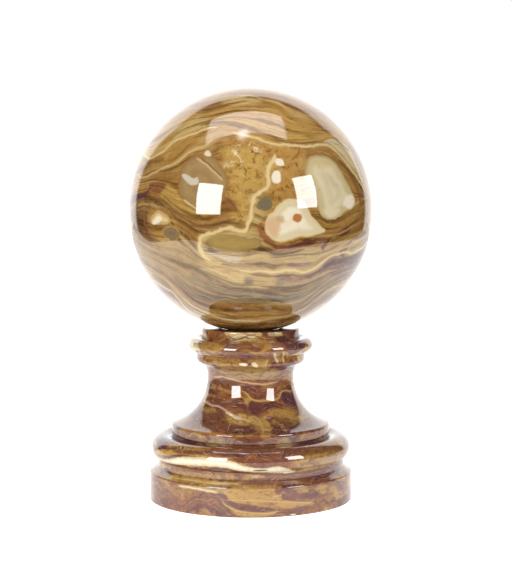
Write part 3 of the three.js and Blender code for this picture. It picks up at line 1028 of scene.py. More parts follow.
BALL_VEINS: tuple[Vein, ...] = (
    Vein("ball vein bright", Tone.CREAM, 0.014, ((0.19, 0.43), (0.18, 0.39), (0.15, 0.34), (0.13, 0.26),
        (0.135, 0.2), (0.12, 0.16), (0.06, 0.13), (0.02, 0.08), (0.01, 0), (0, -0.06), (-0.02, -0.1),
        (-0.03, -0.15), (-0.07, -0.165), (-0.12, -0.15), (-0.17, -0.14), (-0.22, -0.16), (-0.27, -0.175),
        (-0.33, -0.19), (-0.38, -0.21), (-0.395, -0.26), (-0.385, -0.31), (-0.36, -0.36), (-0.3, -0.4)),
        0.95, Face.FRONT, 0.05),
    Vein("ball vein shoulder left", Tone.CREAM, 0.010, ((-0.9, 0.48), (-0.85, 0.44), (-0.8, 0.405),
        (-0.75, 0.425), (-0.68, 0.465), (-0.6, 0.535), (-0.5, 0.575), (-0.42, 0.6), (-0.35, 0.63),
        (-0.25, 0.64)), 0.85),
    Vein("ball vein shoulder right", Tone.CREAM, 0.011, ((-0.15, 0.6), (-0.05, 0.575), (0.05, 0.55),
        (0.12, 0.52), (0.2, 0.503), (0.3, 0.5), (0.4, 0.49), (0.47, 0.49), (0.53, 0.505), (0.6, 0.505),
        (0.66, 0.47), (0.72, 0.41), (0.78, 0.34), (0.83, 0.27), (0.88, 0.2), (0.91, 0.14)), 0.85),
    Vein("ball vein second", Tone.STRAW, 0.009, ((-0.92, 0.29), (-0.87, 0.258), (-0.84, 0.255),
        (-0.78, 0.28), (-0.72, 0.31), (-0.65, 0.335), (-0.58, 0.36), (-0.53, 0.4), (-0.48, 0.445),
        (-0.4, 0.475), (-0.34, 0.5), (-0.29, 0.55)), 0.9),
    Vein("ball vein low yellow", Tone.CREAM, 0.010, ((-0.1, -0.47), (0, -0.478), (0.1, -0.478),
        (0.2, -0.482), (0.3, -0.47), (0.4, -0.485), (0.46, -0.475), (0.52, -0.445), (0.57, -0.405),
        (0.62, -0.372), (0.7, -0.347), (0.76, -0.34), (0.8, -0.347), (0.85, -0.325), (0.9, -0.3),
        (0.94, -0.26)), 0.8),
    Vein("ball vein low second", Tone.STRAW, 0.009, ((0.25, -0.4), (0.4, -0.405), (0.5, -0.39),
        (0.56, -0.355), (0.63, -0.33), (0.72, -0.3), (0.8, -0.275), (0.9, -0.23)), 0.7),
    Vein("ball vein wedge edge", Tone.MOSS, 0.008, ((-0.42, -0.445), (-0.38, -0.475), (-0.33, -0.495),
        (-0.27, -0.52), (-0.2, -0.55), (-0.12, -0.578), (-0.04, -0.585), (0.03, -0.58)), 0.9),
    Vein("ball vein cup", Tone.RUST, 0.012, ((0.08, -0.09), (0.07, -0.14), (0.08, -0.18), (0.1, -0.21),
        (0.14, -0.235), (0.19, -0.26)), 0.9),
    Vein("ball vein under", Tone.DUSK, 0.008, ((0.05, -0.29), (0.1, -0.305), (0.15, -0.325), (0.2, -0.345),
        (0.27, -0.34), (0.34, -0.325), (0.42, -0.3)), 0.85),
    Vein("ball vein under second", Tone.UMBER, 0.006, ((0.14, -0.365), (0.22, -0.37), (0.3, -0.355),
        (0.4, -0.345), (0.5, -0.348), (0.6, -0.32), (0.7, -0.275)), 0.7),
    Vein("ball vein wine", Tone.PLUM, 0.012, ((-0.97, 0.04), (-0.93, 0.08), (-0.87, 0.105), (-0.82, 0.13),
        (-0.79, 0.17)), 0.9),
    Vein("ball vein left dark", Tone.UMBER, 0.008, ((-0.82, 0.13), (-0.78, 0.1), (-0.7, 0.078),
        (-0.65, 0.045), (-0.6, 0), (-0.55, -0.03), (-0.48, -0.06), (-0.4, -0.09)), 0.8),
    Vein("ball vein left sweep", Tone.UMBER, 0.007, ((-0.64, 0.02), (-0.58, -0.06), (-0.51, -0.11),
        (-0.43, -0.125), (-0.33, -0.125), (-0.2, -0.09), (-0.1, -0.07)), 0.75),
    Vein("ball vein left edge", Tone.UMBER, 0.009, ((-0.86, 0.1), (-0.9, 0.03), (-0.91, -0.06),
        (-0.89, -0.14), (-0.84, -0.2), (-0.78, -0.235), (-0.7, -0.25)), 0.7),
    Vein("ball vein left inner", Tone.RUST, 0.008, ((-0.78, 0.05), (-0.83, 0), (-0.84, -0.08),
        (-0.81, -0.16), (-0.76, -0.2), (-0.71, -0.21)), 0.7),
    Vein("ball vein low white", Tone.PEARL, 0.007, ((-0.85, -0.54), (-0.75, -0.59), (-0.7, -0.62),
        (-0.63, -0.655), (-0.59, -0.7), (-0.55, -0.75), (-0.5, -0.81), (-0.42, -0.85), (-0.33, -0.885)),
        0.9),
    Vein("ball vein low cream", Tone.BONE, 0.008, ((-0.55, -0.69), (-0.47, -0.76), (-0.4, -0.8),
        (-0.33, -0.83), (-0.25, -0.86), (-0.15, -0.88), (0, -0.887), (0.12, -0.885)), 0.8),
    Vein("ball vein glass light", Tone.PEACH, 0.007, ((-0.42, 0.4), (-0.35, 0.35), (-0.28, 0.29),
        (-0.21, 0.22)), 0.8),
    Vein("ball vein glass dark", Tone.UMBER, 0.005, ((-0.39, 0.405), (-0.33, 0.355), (-0.27, 0.3),
        (-0.22, 0.25)), 0.7),
    Vein("ball vein glass foot", Tone.CREAM, 0.006, ((-0.52, 0.08), (-0.47, 0.04), (-0.42, 0.01),
        (-0.36, -0.02)), 0.8),
    Vein("ball vein fan", Tone.UMBER, 0.007, ((-0.19, 0.09), (-0.15, 0.06), (-0.12, 0.02), (-0.11, -0.02)),
        0.8),
    Vein("ball vein cap", Tone.CREAM, 0.007, ((-0.1, 0.905), (0.02, 0.9), (0.1, 0.87), (0.2, 0.845),
        (0.28, 0.8)), 0.6),
    Vein("ball vein wing dark", Tone.UMBER, 0.009, ((0.66, 0.565), (0.71, 0.53), (0.76, 0.485),
        (0.79, 0.46)), 0.85),
    Vein("ball vein wing edge", Tone.UMBER, 0.012, ((0.82, 0.42), (0.86, 0.34), (0.89, 0.25), (0.91, 0.2)),
        0.8),
    Vein("ball vein ring dark", Tone.UMBER, 0.012, ((0.7, 0.4), (0.76, 0.31), (0.82, 0.21), (0.86, 0.11),
        (0.88, 0.02)), 0.6),
    Vein("ball vein crack", Tone.UMBER, 0.005, ((0.37, 0.48), (0.375, 0.44), (0.34, 0.4)), 0.8),
    Vein("ball vein right fold", Tone.UMBER, 0.006, ((0.52, 0), (0.545, -0.06), (0.6, -0.1), (0.66, -0.105),
        (0.73, -0.075), (0.8, -0.03), (0.87, 0)), 0.75),
    Vein("ball vein base rise", Tone.UMBER, 0.008, ((0.28, -0.84), (0.38, -0.82), (0.45, -0.785),
        (0.51, -0.72), (0.58, -0.65), (0.66, -0.605), (0.75, -0.59)), 0.6),
    Vein("ball vein back bright", Tone.CREAM, 0.014, ((-0.9, 0.3), (-0.7, 0.42), (-0.5, 0.5), (-0.2, 0.56),
        (0.1, 0.5), (0.3, 0.35), (0.42, 0.2), (0.4, 0), (0.3, -0.15), (0.1, -0.22), (-0.2, -0.2),
        (-0.5, -0.18), (-0.75, -0.08)), 0.9, Face.BACK, 0.06),
    Vein("ball vein back low", Tone.CREAM, 0.010, ((-0.85, -0.3), (-0.6, -0.42), (-0.3, -0.45), (0, -0.4),
        (0.3, -0.46), (0.6, -0.42), (0.85, -0.28)), 0.8, Face.BACK),
    Vein("ball vein back dark", Tone.MAROON, 0.012, ((-0.6, -0.26), (-0.3, -0.3), (0, -0.28), (0.3, -0.3),
        (0.55, -0.22), (0.75, -0.2)), 0.85, Face.BACK),
    Vein("ball vein back top", Tone.STRAW, 0.010, ((-0.6, 0.68), (-0.3, 0.78), (0, 0.74), (0.3, 0.7),
        (0.6, 0.55), (0.8, 0.4)), 0.8, Face.BACK),
)


# ---- The pedestal's stone: places are (degrees round from the front, millimetres up the profile) -

PEDESTAL_GROUND: tuple[Patch, ...] = (
    Patch(Tone.OCHRE, 1.6, ((-12, 23), (0, 24), (12, 23), (14, 19), (18, 14), (26, 11), (34, 10), (36, 8),
        (26, 6.5), (16, 6), (8, 8), (0, 10.5), (-8, 12), (-13, 16)), 0.95),
    Patch(Tone.OLIVE, 1.5, ((-44, 22), (-30, 23.5), (-14, 23.5), (-12, 19), (-22, 18), (-36, 19.5)), 0.7),
    Patch(Tone.OCHRE, 1.4, ((-12, 10), (-6, 6), (4, 4), (14, 4.5), (10, 0.5), (-4, 0.5), (-10, 4)), 0.8),
    Patch(Tone.OCHRE, 1.5, ((38, 21), (46, 21.5), (50, 18), (45, 14), (40, 16)), 0.7),
    Patch(Tone.OCHRE, 1.4, ((24, 22), (32, 23), (34, 18), (28, 17)), 0.6),
    Patch(Tone.GOLD, 1.2, ((-56, 24.5), (-40, 24), (-10, 24.5), (6, 25), (2, 29), (-20, 31), (-50, 30.5)),
        0.9),
    Patch(Tone.MAROON, 1.4, ((2, 26), (20, 25), (60, 25.5), (66, 30), (40, 33), (10, 34), (-8, 31)), 0.9),
    Patch(Tone.PLUM, 1.6, ((38, 28), (50, 28), (56, 32), (46, 34), (38, 32)), 0.8),
    # Plum patch on the left of the ledge and fillet, in the recess under the base torus: painted shade.
    Patch(Tone.PLUM, 1.4, ((-66, 26), (-56, 27), (-54, 32), (-62, 34), (-68, 31)), 0.7),
    Patch(Tone.OCHRE, 1.2, ((-50, 31.5), (-25, 32), (-8, 32.5), (-10, 35.5), (-30, 35.5), (-50, 34.5)),
        0.8),
    # Maroon band along the crease under the base torus: painted shade.
    Patch(Tone.MAROON, 1.2, ((-70, 35.5), (-40, 37), (0, 36), (30, 34.5), (60, 35), (60, 37.5), (20, 36.8),
        (-10, 39), (-40, 40), (-68, 38.5)), 0.95),
    Patch(Tone.TAN, 1.5, ((26, 48), (40, 48.5), (60, 47), (66, 43), (50, 39.5), (32, 39)), 0.85),
    Patch(Tone.MAROON, 1.3, ((-10, 53), (0, 52), (18, 51), (20, 47), (8, 45), (0, 46), (-8, 49.5)), 0.9),
    Patch(Tone.GOLD, 1.0, ((-72, 47), (-62, 51), (-50, 53.5), (-42, 53.5), (-38, 51.5), (-46, 49.5),
        (-56, 47), (-66, 44)), 0.95),
    Patch(Tone.MAROON, 1.0, ((-50, 53), (-36, 55.5), (-20, 57.5), (-12, 55.5), (-18, 53), (-34, 52.5),
        (-45, 51)), 0.95),
    Patch(Tone.GOLD, 0.9, ((-40, 51.5), (-25, 52.5), (-12, 52.5), (-12, 51.2), (-25, 51.2), (-38, 50.3)),
        0.8),
    Patch(Tone.UMBER, 1.2, ((22, 54), (40, 56), (64, 54), (70, 50.5), (50, 51.5), (30, 51)), 0.8),
    Patch(Tone.OCHRE, 1.0, ((24, 51), (45, 51.5), (66, 49.8), (60, 48), (40, 49), (26, 49)), 0.6),
    Patch(Tone.TAN, 1.6, ((-32, 62), (-20, 62), (-18, 80), (-28, 82), (-34, 72)), 0.7),
    Patch(Tone.PLUM, 1.6, ((-64, 63), (-36, 62), (-30, 70), (-34, 76), (-60, 76), (-68, 70)), 0.85),
    Patch(Tone.MAROON, 1.6, ((-12, 60), (12, 60), (16, 72), (10, 82), (-10, 82), (-14, 72)), 0.8),
    Patch(Tone.TAN, 1.6, ((19, 62), (30, 62), (32, 74), (26, 82), (18, 78)), 0.6),
    Patch(Tone.PLUM, 1.6, ((34, 62), (60, 64), (68, 70), (58, 76), (34, 76)), 0.8),
    Patch(Tone.OCHRE, 0.9, ((-60, 82), (-40, 83.5), (-22, 84.5), (-20, 87), (-40, 86), (-60, 85)), 0.8),
    Patch(Tone.MAROON, 2.0, ((-60, 106), (-48, 107.5), (-38, 110.5), (-30, 110), (-24, 104), (-18, 98),
        (-16, 92), (-24, 90), (-34, 92), (-46, 96), (-56, 101))),
    Patch(Tone.WINE, 1.6, ((-15, 96), (-8, 98), (2, 97), (5, 90), (0, 86.5), (-10, 86), (-16, 90)), 0.85),
    Patch(Tone.WINE, 1.6, ((15, 92), (22, 93), (26, 88), (22, 84), (16, 85)), 0.8),
    Patch(Tone.OCHRE, 1.8, ((4, 104), (12, 107), (17, 100), (16, 90), (14, 83), (7, 83), (8, 92), (2, 99)),
        0.9),
    Patch(Tone.GOLD, 2.0, ((-22, 106), (-12, 110), (2, 108), (6, 102), (-4, 98.5), (-14, 99), (-20, 101)),
        0.75),
    Patch(Tone.OCHRE, 2.0, ((-62, 112), (-50, 113), (-40, 112.5), (-42, 109), (-52, 108), (-62, 108.5)),
        0.85),
    Patch(Tone.MAROON, 1.5, ((-68, 121), (-50, 122.5), (-34, 121), (-20, 118.5), (-30, 116.5), (-50, 117.5),
        (-68, 118)), 0.9),
    Patch(Tone.WINE, 1.5, ((-68, 128), (-56, 128.5), (-48, 127), (-44, 124.5), (-56, 123.5), (-68, 124)),
        0.85),
    Patch(Tone.OCHRE, 1.5, ((-62, 133), (-48, 132.5), (-36, 130), (-20, 128), (-32, 127), (-48, 129),
        (-62, 130)), 0.7),
    Patch(Tone.MAROON, 1.6, ((-6, 130.5), (8, 130), (22, 129.5), (34, 127), (26, 122.8), (12, 123),
        (0, 124.5)), 0.8),
    Patch(Tone.WINE, 1.6, ((-2, 120), (14, 120), (34, 119.5), (40, 115.5), (28, 112.5), (10, 113.5),
        (0, 116)), 0.85),
    Patch(Tone.PLUM, 2.0, ((40, 126), (50, 130), (62, 131), (70, 124), (68, 115), (58, 111.5), (50, 114),
        (42, 118)), 0.95),
    Patch(Tone.OCHRE, 1.8, ((20, 112), (34, 113), (48, 112), (58, 109), (48, 104), (34, 104), (22, 106)),
        0.75),
    Patch(Tone.BROWN, 2.0, ((22, 104), (36, 103), (50, 101), (44, 96), (30, 94), (20, 98)), 0.8),
    Patch(Tone.WINE, 1.6, ((24, 101), (34, 101), (40, 97.5), (32, 95.5), (24, 97)), 0.7),
    Patch(Tone.TAN, 1.6, ((-50, 147), (-20, 149), (10, 150), (30, 148), (44, 144), (30, 139), (0, 138),
        (-30, 140)), 0.75),
    Patch(Tone.OCHRE, 1.4, ((-16, 152), (0, 152.5), (20, 151), (20, 147.5), (0, 148), (-16, 148)), 0.7),
    Patch(Tone.MAUVE, 1.6, ((-66, 137), (-40, 138.5), (-15, 137), (10, 136.5), (40, 137.5), (40, 133),
        (0, 133), (-40, 134)), 0.75),
    Patch(Tone.WINE, 1.4, ((-52, 150), (-44, 151), (-38, 148), (-44, 145.5), (-52, 146)), 0.8),
    Patch(Tone.WINE, 1.6, ((32, 152), (48, 152), (56, 148), (44, 144), (36, 146)), 0.85),
    Patch(Tone.MAUVE, 2.0, ((-60, 168), (-20, 168), (20, 168), (24, 160), (-10, 159), (-60, 160)), 0.6),
    Patch(Tone.OCHRE, 1.4, ((-46, 166), (-30, 166.5), (-26, 162), (-34, 160), (-46, 161)), 0.7),
    Patch(Tone.RUST, 2.0, ((-60, 182), (-40, 186), (-22, 184), (-24, 176), (-40, 172), (-58, 174)), 0.8),
    Patch(Tone.OCHRE, 1.6, ((-54, 179), (-38, 179), (-28, 174), (-34, 170), (-48, 171), (-56, 174)), 0.75),
    Patch(Tone.MAROON, 1.8, ((-24, 178), (-8, 176), (8, 174), (10, 170), (-8, 168.5), (-24, 170)), 0.85),
    Patch(Tone.OCHRE, 1.6, ((12, 190), (18, 191), (22, 184), (20, 174), (14, 168.5), (8, 169), (14, 176),
        (13, 184)), 0.8),
    Patch(Tone.RUST, 1.8, ((20, 182), (32, 180), (34, 172), (24, 170), (20, 175)), 0.7),
    Patch(Tone.PLUM, 2.0, ((34, 188), (50, 188), (64, 182), (60, 172), (44, 168), (34, 174)), 0.85),
    Patch(Tone.IVORY, 2.0, ((-84, 180), (-66, 180), (-56, 173), (-54, 168), (-70, 165), (-84, 168)), 0.8),
    Patch(Tone.CREAM, 1.2, ((-32, 196.5), (-16, 197.5), (8, 197.5), (14, 195), (2, 191), (-10, 189),
        (-22, 190), (-28, 193)), 0.7),
    Patch(Tone.CREAM, 0.9, ((20, 196), (34, 196.5), (44, 195), (34, 193.5), (22, 193.5)), 0.7),
    Patch(Tone.WINE, 1.4, ((28, 193), (50, 193), (66, 192), (56, 188), (36, 188)), 0.8),
    Patch(Tone.RUST, 1.4, ((-64, 196), (-44, 197), (-34, 194), (-40, 189), (-60, 190)), 0.8),
    Patch(Tone.MAROON, 3.0, ((130, 100), (160, 112), (190, 108), (210, 98), (180, 88), (150, 90)), 0.8),
    Patch(Tone.OCHRE, 3.0, ((110, 120), (150, 128), (200, 122), (170, 116), (130, 114)), 0.7),
    Patch(Tone.GOLD, 2.0, ((120, 20), (160, 24), (200, 18), (180, 8), (140, 10)), 0.7),
    Patch(Tone.PLUM, 2.0, ((215, 16), (250, 20), (262, 10), (235, 5)), 0.6),
)

PEDESTAL_INLAY: tuple[Patch, ...] = (
    Patch(Tone.DUSK, 0.5, ((2, 42), (8, 42.3), (10, 41), (5, 40.4), (1, 41)), 0.75),
    Patch(Tone.WHITE, 0.5, ((-12, 156.5), (-6, 157.2), (-2, 156), (-6, 154.6), (-11, 155.2)), 0.9),
    Patch(Tone.DUSK, 0.4, ((-4, 156.3), (-1, 156.8), (1, 155.6), (-2, 155)), 0.8),
    Patch(Tone.IVORY, 0.5, ((1, 157), (5, 157.5), (8, 154), (5, 153.2), (2, 155)), 0.9),
    Patch(Tone.IVORY, 0.5, ((22, 1.6), (25, 1.8), (25, 0.4), (22, 0.4)), 0.9),
)

PEDESTAL_PODS: tuple[Pod, ...] = (
    Pod("pedestal pod white band", ((-76, 41), (-62, 43), (-51, 46), (-43, 49), (-35, 50.2), (-25, 50.8),
        (-15, 50.6), (-9, 49), (-4, 46), (1, 44.5), (8, 43.6), (15, 44.6), (20, 43), (25, 40), (28, 37.6),
        (24, 36), (18, 36.4), (12, 37.6), (6, 38.6), (0, 39.2), (-6, 40.6), (-12, 42.6), (-18, 43.8),
        (-26, 43.8), (-36, 42.8), (-46, 41.2), (-56, 39.8), (-66, 38.8), (-76, 38.8)), Tone.SAND,
        Tone.IVORY, Tone.WHITE, 0.026, 120.0, Face.FRONT, 0.010),
    Pod("pedestal pod back band", ((140, 44), (160, 48), (185, 47), (205, 43), (225, 41), (222, 38),
        (200, 38.5), (178, 41), (158, 42), (142, 41)), Tone.SAND, Tone.IVORY, Tone.WHITE, 0.026, 120.0,
        Face.FRONT, 0.010),
)

PEDESTAL_VEINS: tuple[Vein, ...] = (
    Vein("pedestal vein neck", Tone.GOLD, 0.55, ((-12, 129.5), (-6, 127.5), (-2, 124.5), (3, 122.2),
        (10, 121), (20, 121), (30, 121.3), (38, 123), (43, 127), (50, 127.6), (60, 126.4), (70, 127)),
        0.95),
    Vein("pedestal vein bell pale", Tone.PEACH, 0.6, ((-76, 117), (-64, 116.6), (-50, 115), (-40, 115.2),
        (-30, 113), (-22, 110), (-14, 107), (-6, 104.6), (0, 103)), 0.9),
    Vein("pedestal vein bell white", Tone.IVORY, 0.45, ((-28, 110.6), (-20, 108.2), (-14, 105), (-8, 104)),
        0.85),
    Vein("pedestal vein bell drop", Tone.SAND, 0.6, ((0, 108), (6, 106), (9, 100), (10, 93), (9, 86)), 0.7),
    Vein("pedestal vein cove", Tone.PEACH, 0.6, ((-60, 138), (-42, 139.6), (-25, 138.4), (-8, 136.4),
        (8, 134.8), (24, 134.6), (40, 136)), 0.75),
    Vein("pedestal vein ring curl", Tone.IVORY, 0.7, ((22, 170), (24, 165), (27, 160), (30, 156.6)), 0.9),
    Vein("pedestal vein ring curl two", Tone.BONE, 0.6, ((31, 170), (33, 165), (36, 160), (37, 156)), 0.8),
    Vein("pedestal vein collar", Tone.OCHRE, 0.8, ((-2, 171), (6, 170.2), (12, 172), (15, 178), (15, 186),
        (17, 193)), 0.9),
    Vein("pedestal vein rim", Tone.IVORY, 0.5, ((-24, 190), (-18, 193.6), (-8, 194.4), (2, 193),
        (8, 195.6)), 0.85),
    Vein("pedestal vein rim two", Tone.MAROON, 0.45, ((-28, 194.5), (-20, 191.4), (-10, 191.8), (0, 195),
        (10, 193)), 0.8),
    Vein("pedestal vein plinth swirl", Tone.SAND, 0.5, ((-16, 13), (-13, 9), (-8, 5.6), (0, 4), (10, 3.2),
        (16, 5)), 0.8),
    Vein("pedestal vein plinth line", Tone.SAND, 0.45, ((-14, 13.6), (-2, 13.8), (10, 13), (20, 11.4),
        (30, 9.6), (38, 8)), 0.8),
    Vein("pedestal vein plinth white", Tone.IVORY, 0.55, ((-44, 20.6), (-36, 21.2), (-27, 20.4),
        (-18, 19.4)), 0.85),
    Vein("pedestal vein plinth red", Tone.MAROON, 0.6, ((14, 20), (20, 16.4), (30, 13.4), (42, 12.6),
        (54, 13.4)), 0.7),
    Vein("pedestal vein torus cream", Tone.CREAM, 0.5, ((28, 38.4), (40, 38.6), (54, 39.6), (70, 40),
        (84, 39)), 0.85),
    # Wine line in the crease where the base torus meets the fillet: painted shade, laid as a vein.
    Vein("pedestal painted shade under torus", Tone.WINE, 0.6, ((-72, 37.6), (-40, 39.6), (-10, 38.4), (10, 36.6),
        (30, 35.2), (60, 36.6)), 0.9),
    Vein("pedestal vein torus dark", Tone.MAROON, 0.5, ((-70, 44), (-56, 46.8), (-46, 49.6), (-36, 51.4)),
        0.8),
    Vein("pedestal vein ledge", Tone.CREAM, 0.4, ((-52, 27), (-36, 28.4), (-20, 27.6), (-6, 28.6)), 0.7),
    Vein("pedestal vein ring line", Tone.ORANGE, 0.5, ((-60, 83.6), (-42, 84.6), (-24, 84), (-10, 85.2)),
        0.8),
    Vein("pedestal vein back", Tone.GOLD, 0.8, ((110, 96), (135, 104), (160, 100), (185, 110), (210, 118),
        (240, 114)), 0.85),
    Vein("pedestal vein back pale", Tone.PEACH, 0.7, ((100, 124), (130, 118), (165, 122), (200, 112),
        (235, 104)), 0.8),
)


# ---- Finishes ------------------------------------------------------------------------------------


@dataclass(frozen=True)
class PolishedStone(ABC):
    """What both stones share: the gloss, the clarity and the way pods and veins are laid in.

    Attributes:
        title: the material's name.
        scale: how much a place in metres is enlarged, so that a radius is one.
        centre: height of the middle of the pattern, in metres.
        refraction: index of refraction of the polished face.
        gloss: roughness of the best-polished parts.
        drift: how much rougher the dullest parts are.
        ripple: depth of the polish's faint waviness, in metres.
        ripple_strength: how much of that waviness shows.
        waver: how far a pod's outline wanders, in radii.
        ring_shade: how far a pod's growth rings are drawn in its rim's tone.
        ragged: how far a vein's edge wanders, in half-widths.
        softness: how wide a vein's edge fades, in half-widths.
        halo: strength of the faint tone either side of a vein.
    """

    title: str
    scale: float
    centre: float
    refraction: float = 1.6
    gloss: float = 0.018
    drift: float = 0.03
    ripple: float = 0.00001
    ripple_strength: float = 0.12
    waver: float = 0.03
    ring_shade: float = 0.16
    ragged: float = 3.2
    softness: float = 0.7
    halo: float = 0.22

    def pods_over(self, bench: NodeBench, colour: Any, pods: tuple[Pod, ...], wobble: bpy.types.Node) -> Any:
        """Lays each pod over the colour, its tones running from rim to heart and darkened by its rings.

        Args:
            bench: works on the material's tree.
            colour: what is below.
            pods: the pods, lowest first.
            wobble: the wavering group's node.

        Returns:
            The colour with the pods laid in.
        """
        for pod in pods:
            depth = bench.attribute(pod.name).outputs["Fac"]
            grown = bench.placed_group(
                PodGroup().tree(),
                Depth=depth,
                Wobble=wobble.outputs["Fine"],
                Waver=self.waver,
                Edge=pod.edge,
                Reach=pod.depth,
                Rings=pod.rings,
            )
            stops = ((0.0, pod.rim), (0.22, pod.body), (0.6, pod.body), (1.0, pod.heart))
            patchy = bench.math("MULTIPLY_ADD", wobble.outputs["Broad"], 0.5, grown.outputs["Share"])
            shade = bench.ramp(patchy, stops)
            rings = bench.math("MULTIPLY", grown.outputs["Ring"], self.ring_shade)
            ringed = bench.mix(rings, shade, pod.rim, "MULTIPLY")
            colour = bench.mix(grown.outputs["Mask"], colour, ringed)
        return colour

    def veins_over(
        self, bench: NodeBench, colour: Any, veins: tuple[Vein, ...], wobble: bpy.types.Node
    ) -> Any:
        """Lays each vein over the colour, with a faint halo of its own tone either side.

        Args:
            bench: works on the material's tree.
            colour: what is below.
            veins: the veins, lowest first.
            wobble: the wavering group's node.

        Returns:
            The colour with the veins laid in.
        """
        for vein in veins:
            edge = bench.placed_group(
                VeinGroup().tree(),
                Field=bench.attribute(vein.name).outputs["Fac"],
                Wobble=wobble.outputs["Fine"],
                Ragged=self.ragged,
                Softness=self.softness,
                Strength=vein.strength,
            )
            halo = bench.math("MULTIPLY", edge.outputs["Halo"], self.halo)
            colour = bench.mix(halo, colour, vein.tone)
            colour = bench.mix(edge.outputs["Mask"], colour, vein.tone)
        return colour

    def ground_over(
        self, bench: NodeBench, colour: Any, name: str, wobble: bpy.types.Node, ragged: float
    ) -> Any:
        """Lays a painted ground over the colour where its cover, made ragged by the wobble, is high."""
        painted = bench.attribute(name)
        worn = bench.math("MULTIPLY_ADD", wobble.outputs["Fine"], ragged, painted.outputs["Alpha"])
        return bench.mix(bench.ease(worn, 0.2, 0.85), colour, painted.outputs["Color"])

    @abstractmethod
    def colour(self, bench: NodeBench, position: Any, wobble: bpy.types.Node) -> Any:
        """The stone's colour."""

    def build(self) -> bpy.types.Material:
        """Makes the material: the stone's colour under one clear polished face.

        Returns:
            The finished material.
        """
        made = bpy.data.materials.new(self.title)
        made.use_nodes = True
        tree = made.node_tree
        tree.nodes.clear()
        bench = NodeBench(tree)
        place = bench.node("ShaderNodeTexCoord").outputs["Object"]
        position = bench.stretched(place, (self.scale,) * 3, (0.0, 0.0, -self.centre))
        wobble = bench.placed_group(WobbleGroup().tree(), Position=position, Scale=1.0)
        face = bench.node("ShaderNodeBsdfPrincipled")
        bench.feed(face.inputs["Base Color"], self.colour(bench, position, wobble))
        polish = bench.placed_group(
            PolishGroup().tree(), Position=position, Gloss=self.gloss, Drift=self.drift
        )
        bench.feed(face.inputs["Roughness"], polish.outputs["Roughness"])
        face.inputs["IOR"].default_value = self.refraction
        bump = bench.node("ShaderNodeBump")
        bump.inputs["Strength"].default_value = self.ripple_strength
        bump.inputs["Distance"].default_value = self.ripple
        bench.feed(bump.inputs["Height"], polish.outputs["Height"])
        bench.feed(face.inputs["Normal"], bump.outputs[0])
        bench.feed(bench.node("ShaderNodeOutputMaterial").inputs["Surface"], face.outputs[0])
        return made


@dataclass(frozen=True)
class GoldenOnyx(PolishedStone):
    """Gold and brown banded stone with pale pods, for the ball.

    Attributes:
        level_reach: the highest bed level; the lowest is its opposite.
        bed_pitch: how many fine beds there are to a radius.
        bed_length: how often they change along their own plane, to a radius.
    """

    level_reach: float = 1.05
    bed_pitch: float = 22.0
    bed_length: float = 1.8

    def colour(self, bench: NodeBench, position: Any, wobble: bpy.types.Node) -> Any:
        """Beds, painted ground, fine lines, mottling, then pods, inlay, lace, veins and flecks."""
        sway = bench.math("MULTIPLY", wobble.outputs["Broad"], 0.05)
        sway = bench.math("MULTIPLY_ADD", wobble.outputs["Fine"], 0.02, sway)
        bedding = bench.placed_group(
            BeddingGroup().tree(),
            Position=position,
            Height=bench.attribute("ball flow").outputs["Fac"],
            Sway=sway,
            Pitch=self.bed_pitch,
            Length=self.bed_length,
        )
        reach = self.level_reach
        stops = tuple(((level + reach) / (2.0 * reach), tone) for level, tone in BALL_BED_TONES)
        base = bench.ramp(bench.spread(bedding.outputs["Bed"], -reach, reach, 0.0, 1.0), stops)
        colour = self.ground_over(bench, base, "ball ground", wobble, 0.7)
        grain = bench.attribute("ball granular").outputs["Fac"]
        bedded = bench.math("SUBTRACT", 1.0, bench.math("MULTIPLY", grain, 0.75))
        dark = bench.math("MULTIPLY", bench.ease(bedding.outputs["Lines"], 0.36, 0.49, 0.75, 0.0), bedded)
        colour = bench.mix(dark, colour, Tone.TAN, "MULTIPLY")
        pale = bench.math("MULTIPLY", bench.ease(bedding.outputs["Lines"], 0.54, 0.66, 0.0, 0.5), bedded)
        colour = bench.mix(pale, colour, Tone.STRAW)
        thread = bench.math("MULTIPLY", bench.ease(bedding.outputs["Threads"], 0.36, 0.5, 0.45, 0.0), bedded)
        colour = bench.mix(thread, colour, Tone.SAND, "MULTIPLY")
        cloud = bench.placed_group(CloudGroup().tree(), Position=position, Scale=4.5)
        mottled = bench.math("MULTIPLY_ADD", grain, 0.55, 0.2)
        low = bench.math("MULTIPLY", bench.ease(cloud.outputs["Mottle"], 0.34, 0.5, 1.0, 0.0), mottled)
        colour = bench.mix(low, colour, Tone.SAND, "MULTIPLY")
        high = bench.math("MULTIPLY", bench.ease(cloud.outputs["Mottle"], 0.54, 0.7, 0.0, 0.8), mottled)
        colour = bench.mix(high, colour, Tone.STRAW)
        spots = bench.math("MULTIPLY", bench.math("MULTIPLY", cloud.outputs["Freckle"], 0.5), grain)
        colour = bench.mix(spots, colour, Tone.UMBER)
        colour = self.pods_over(bench, colour, BALL_PODS, wobble)
        colour = self.ground_over(bench, colour, "ball inlay", wobble, 0.5)
        lace = bench.placed_group(
            LaceGroup().tree(), Position=position, Wobble=wobble.outputs["Fine"], Scale=13.0, Width=0.11
        )
        netted = bench.math("MULTIPLY", lace.outputs["Mask"], bench.attribute("ball lace").outputs["Fac"])
        colour = bench.mix(netted, colour, Tone.WHITE)
        colour = self.veins_over(bench, colour, BALL_VEINS, wobble)
        flecks = bench.placed_group(FleckGroup().tree(), Position=position, Scale=34.0, Size=0.28, Share=0.05)
        colour = bench.mix(bench.math("MULTIPLY", flecks.outputs["Mask"], 0.55), colour, Tone.UMBER)
        return colour


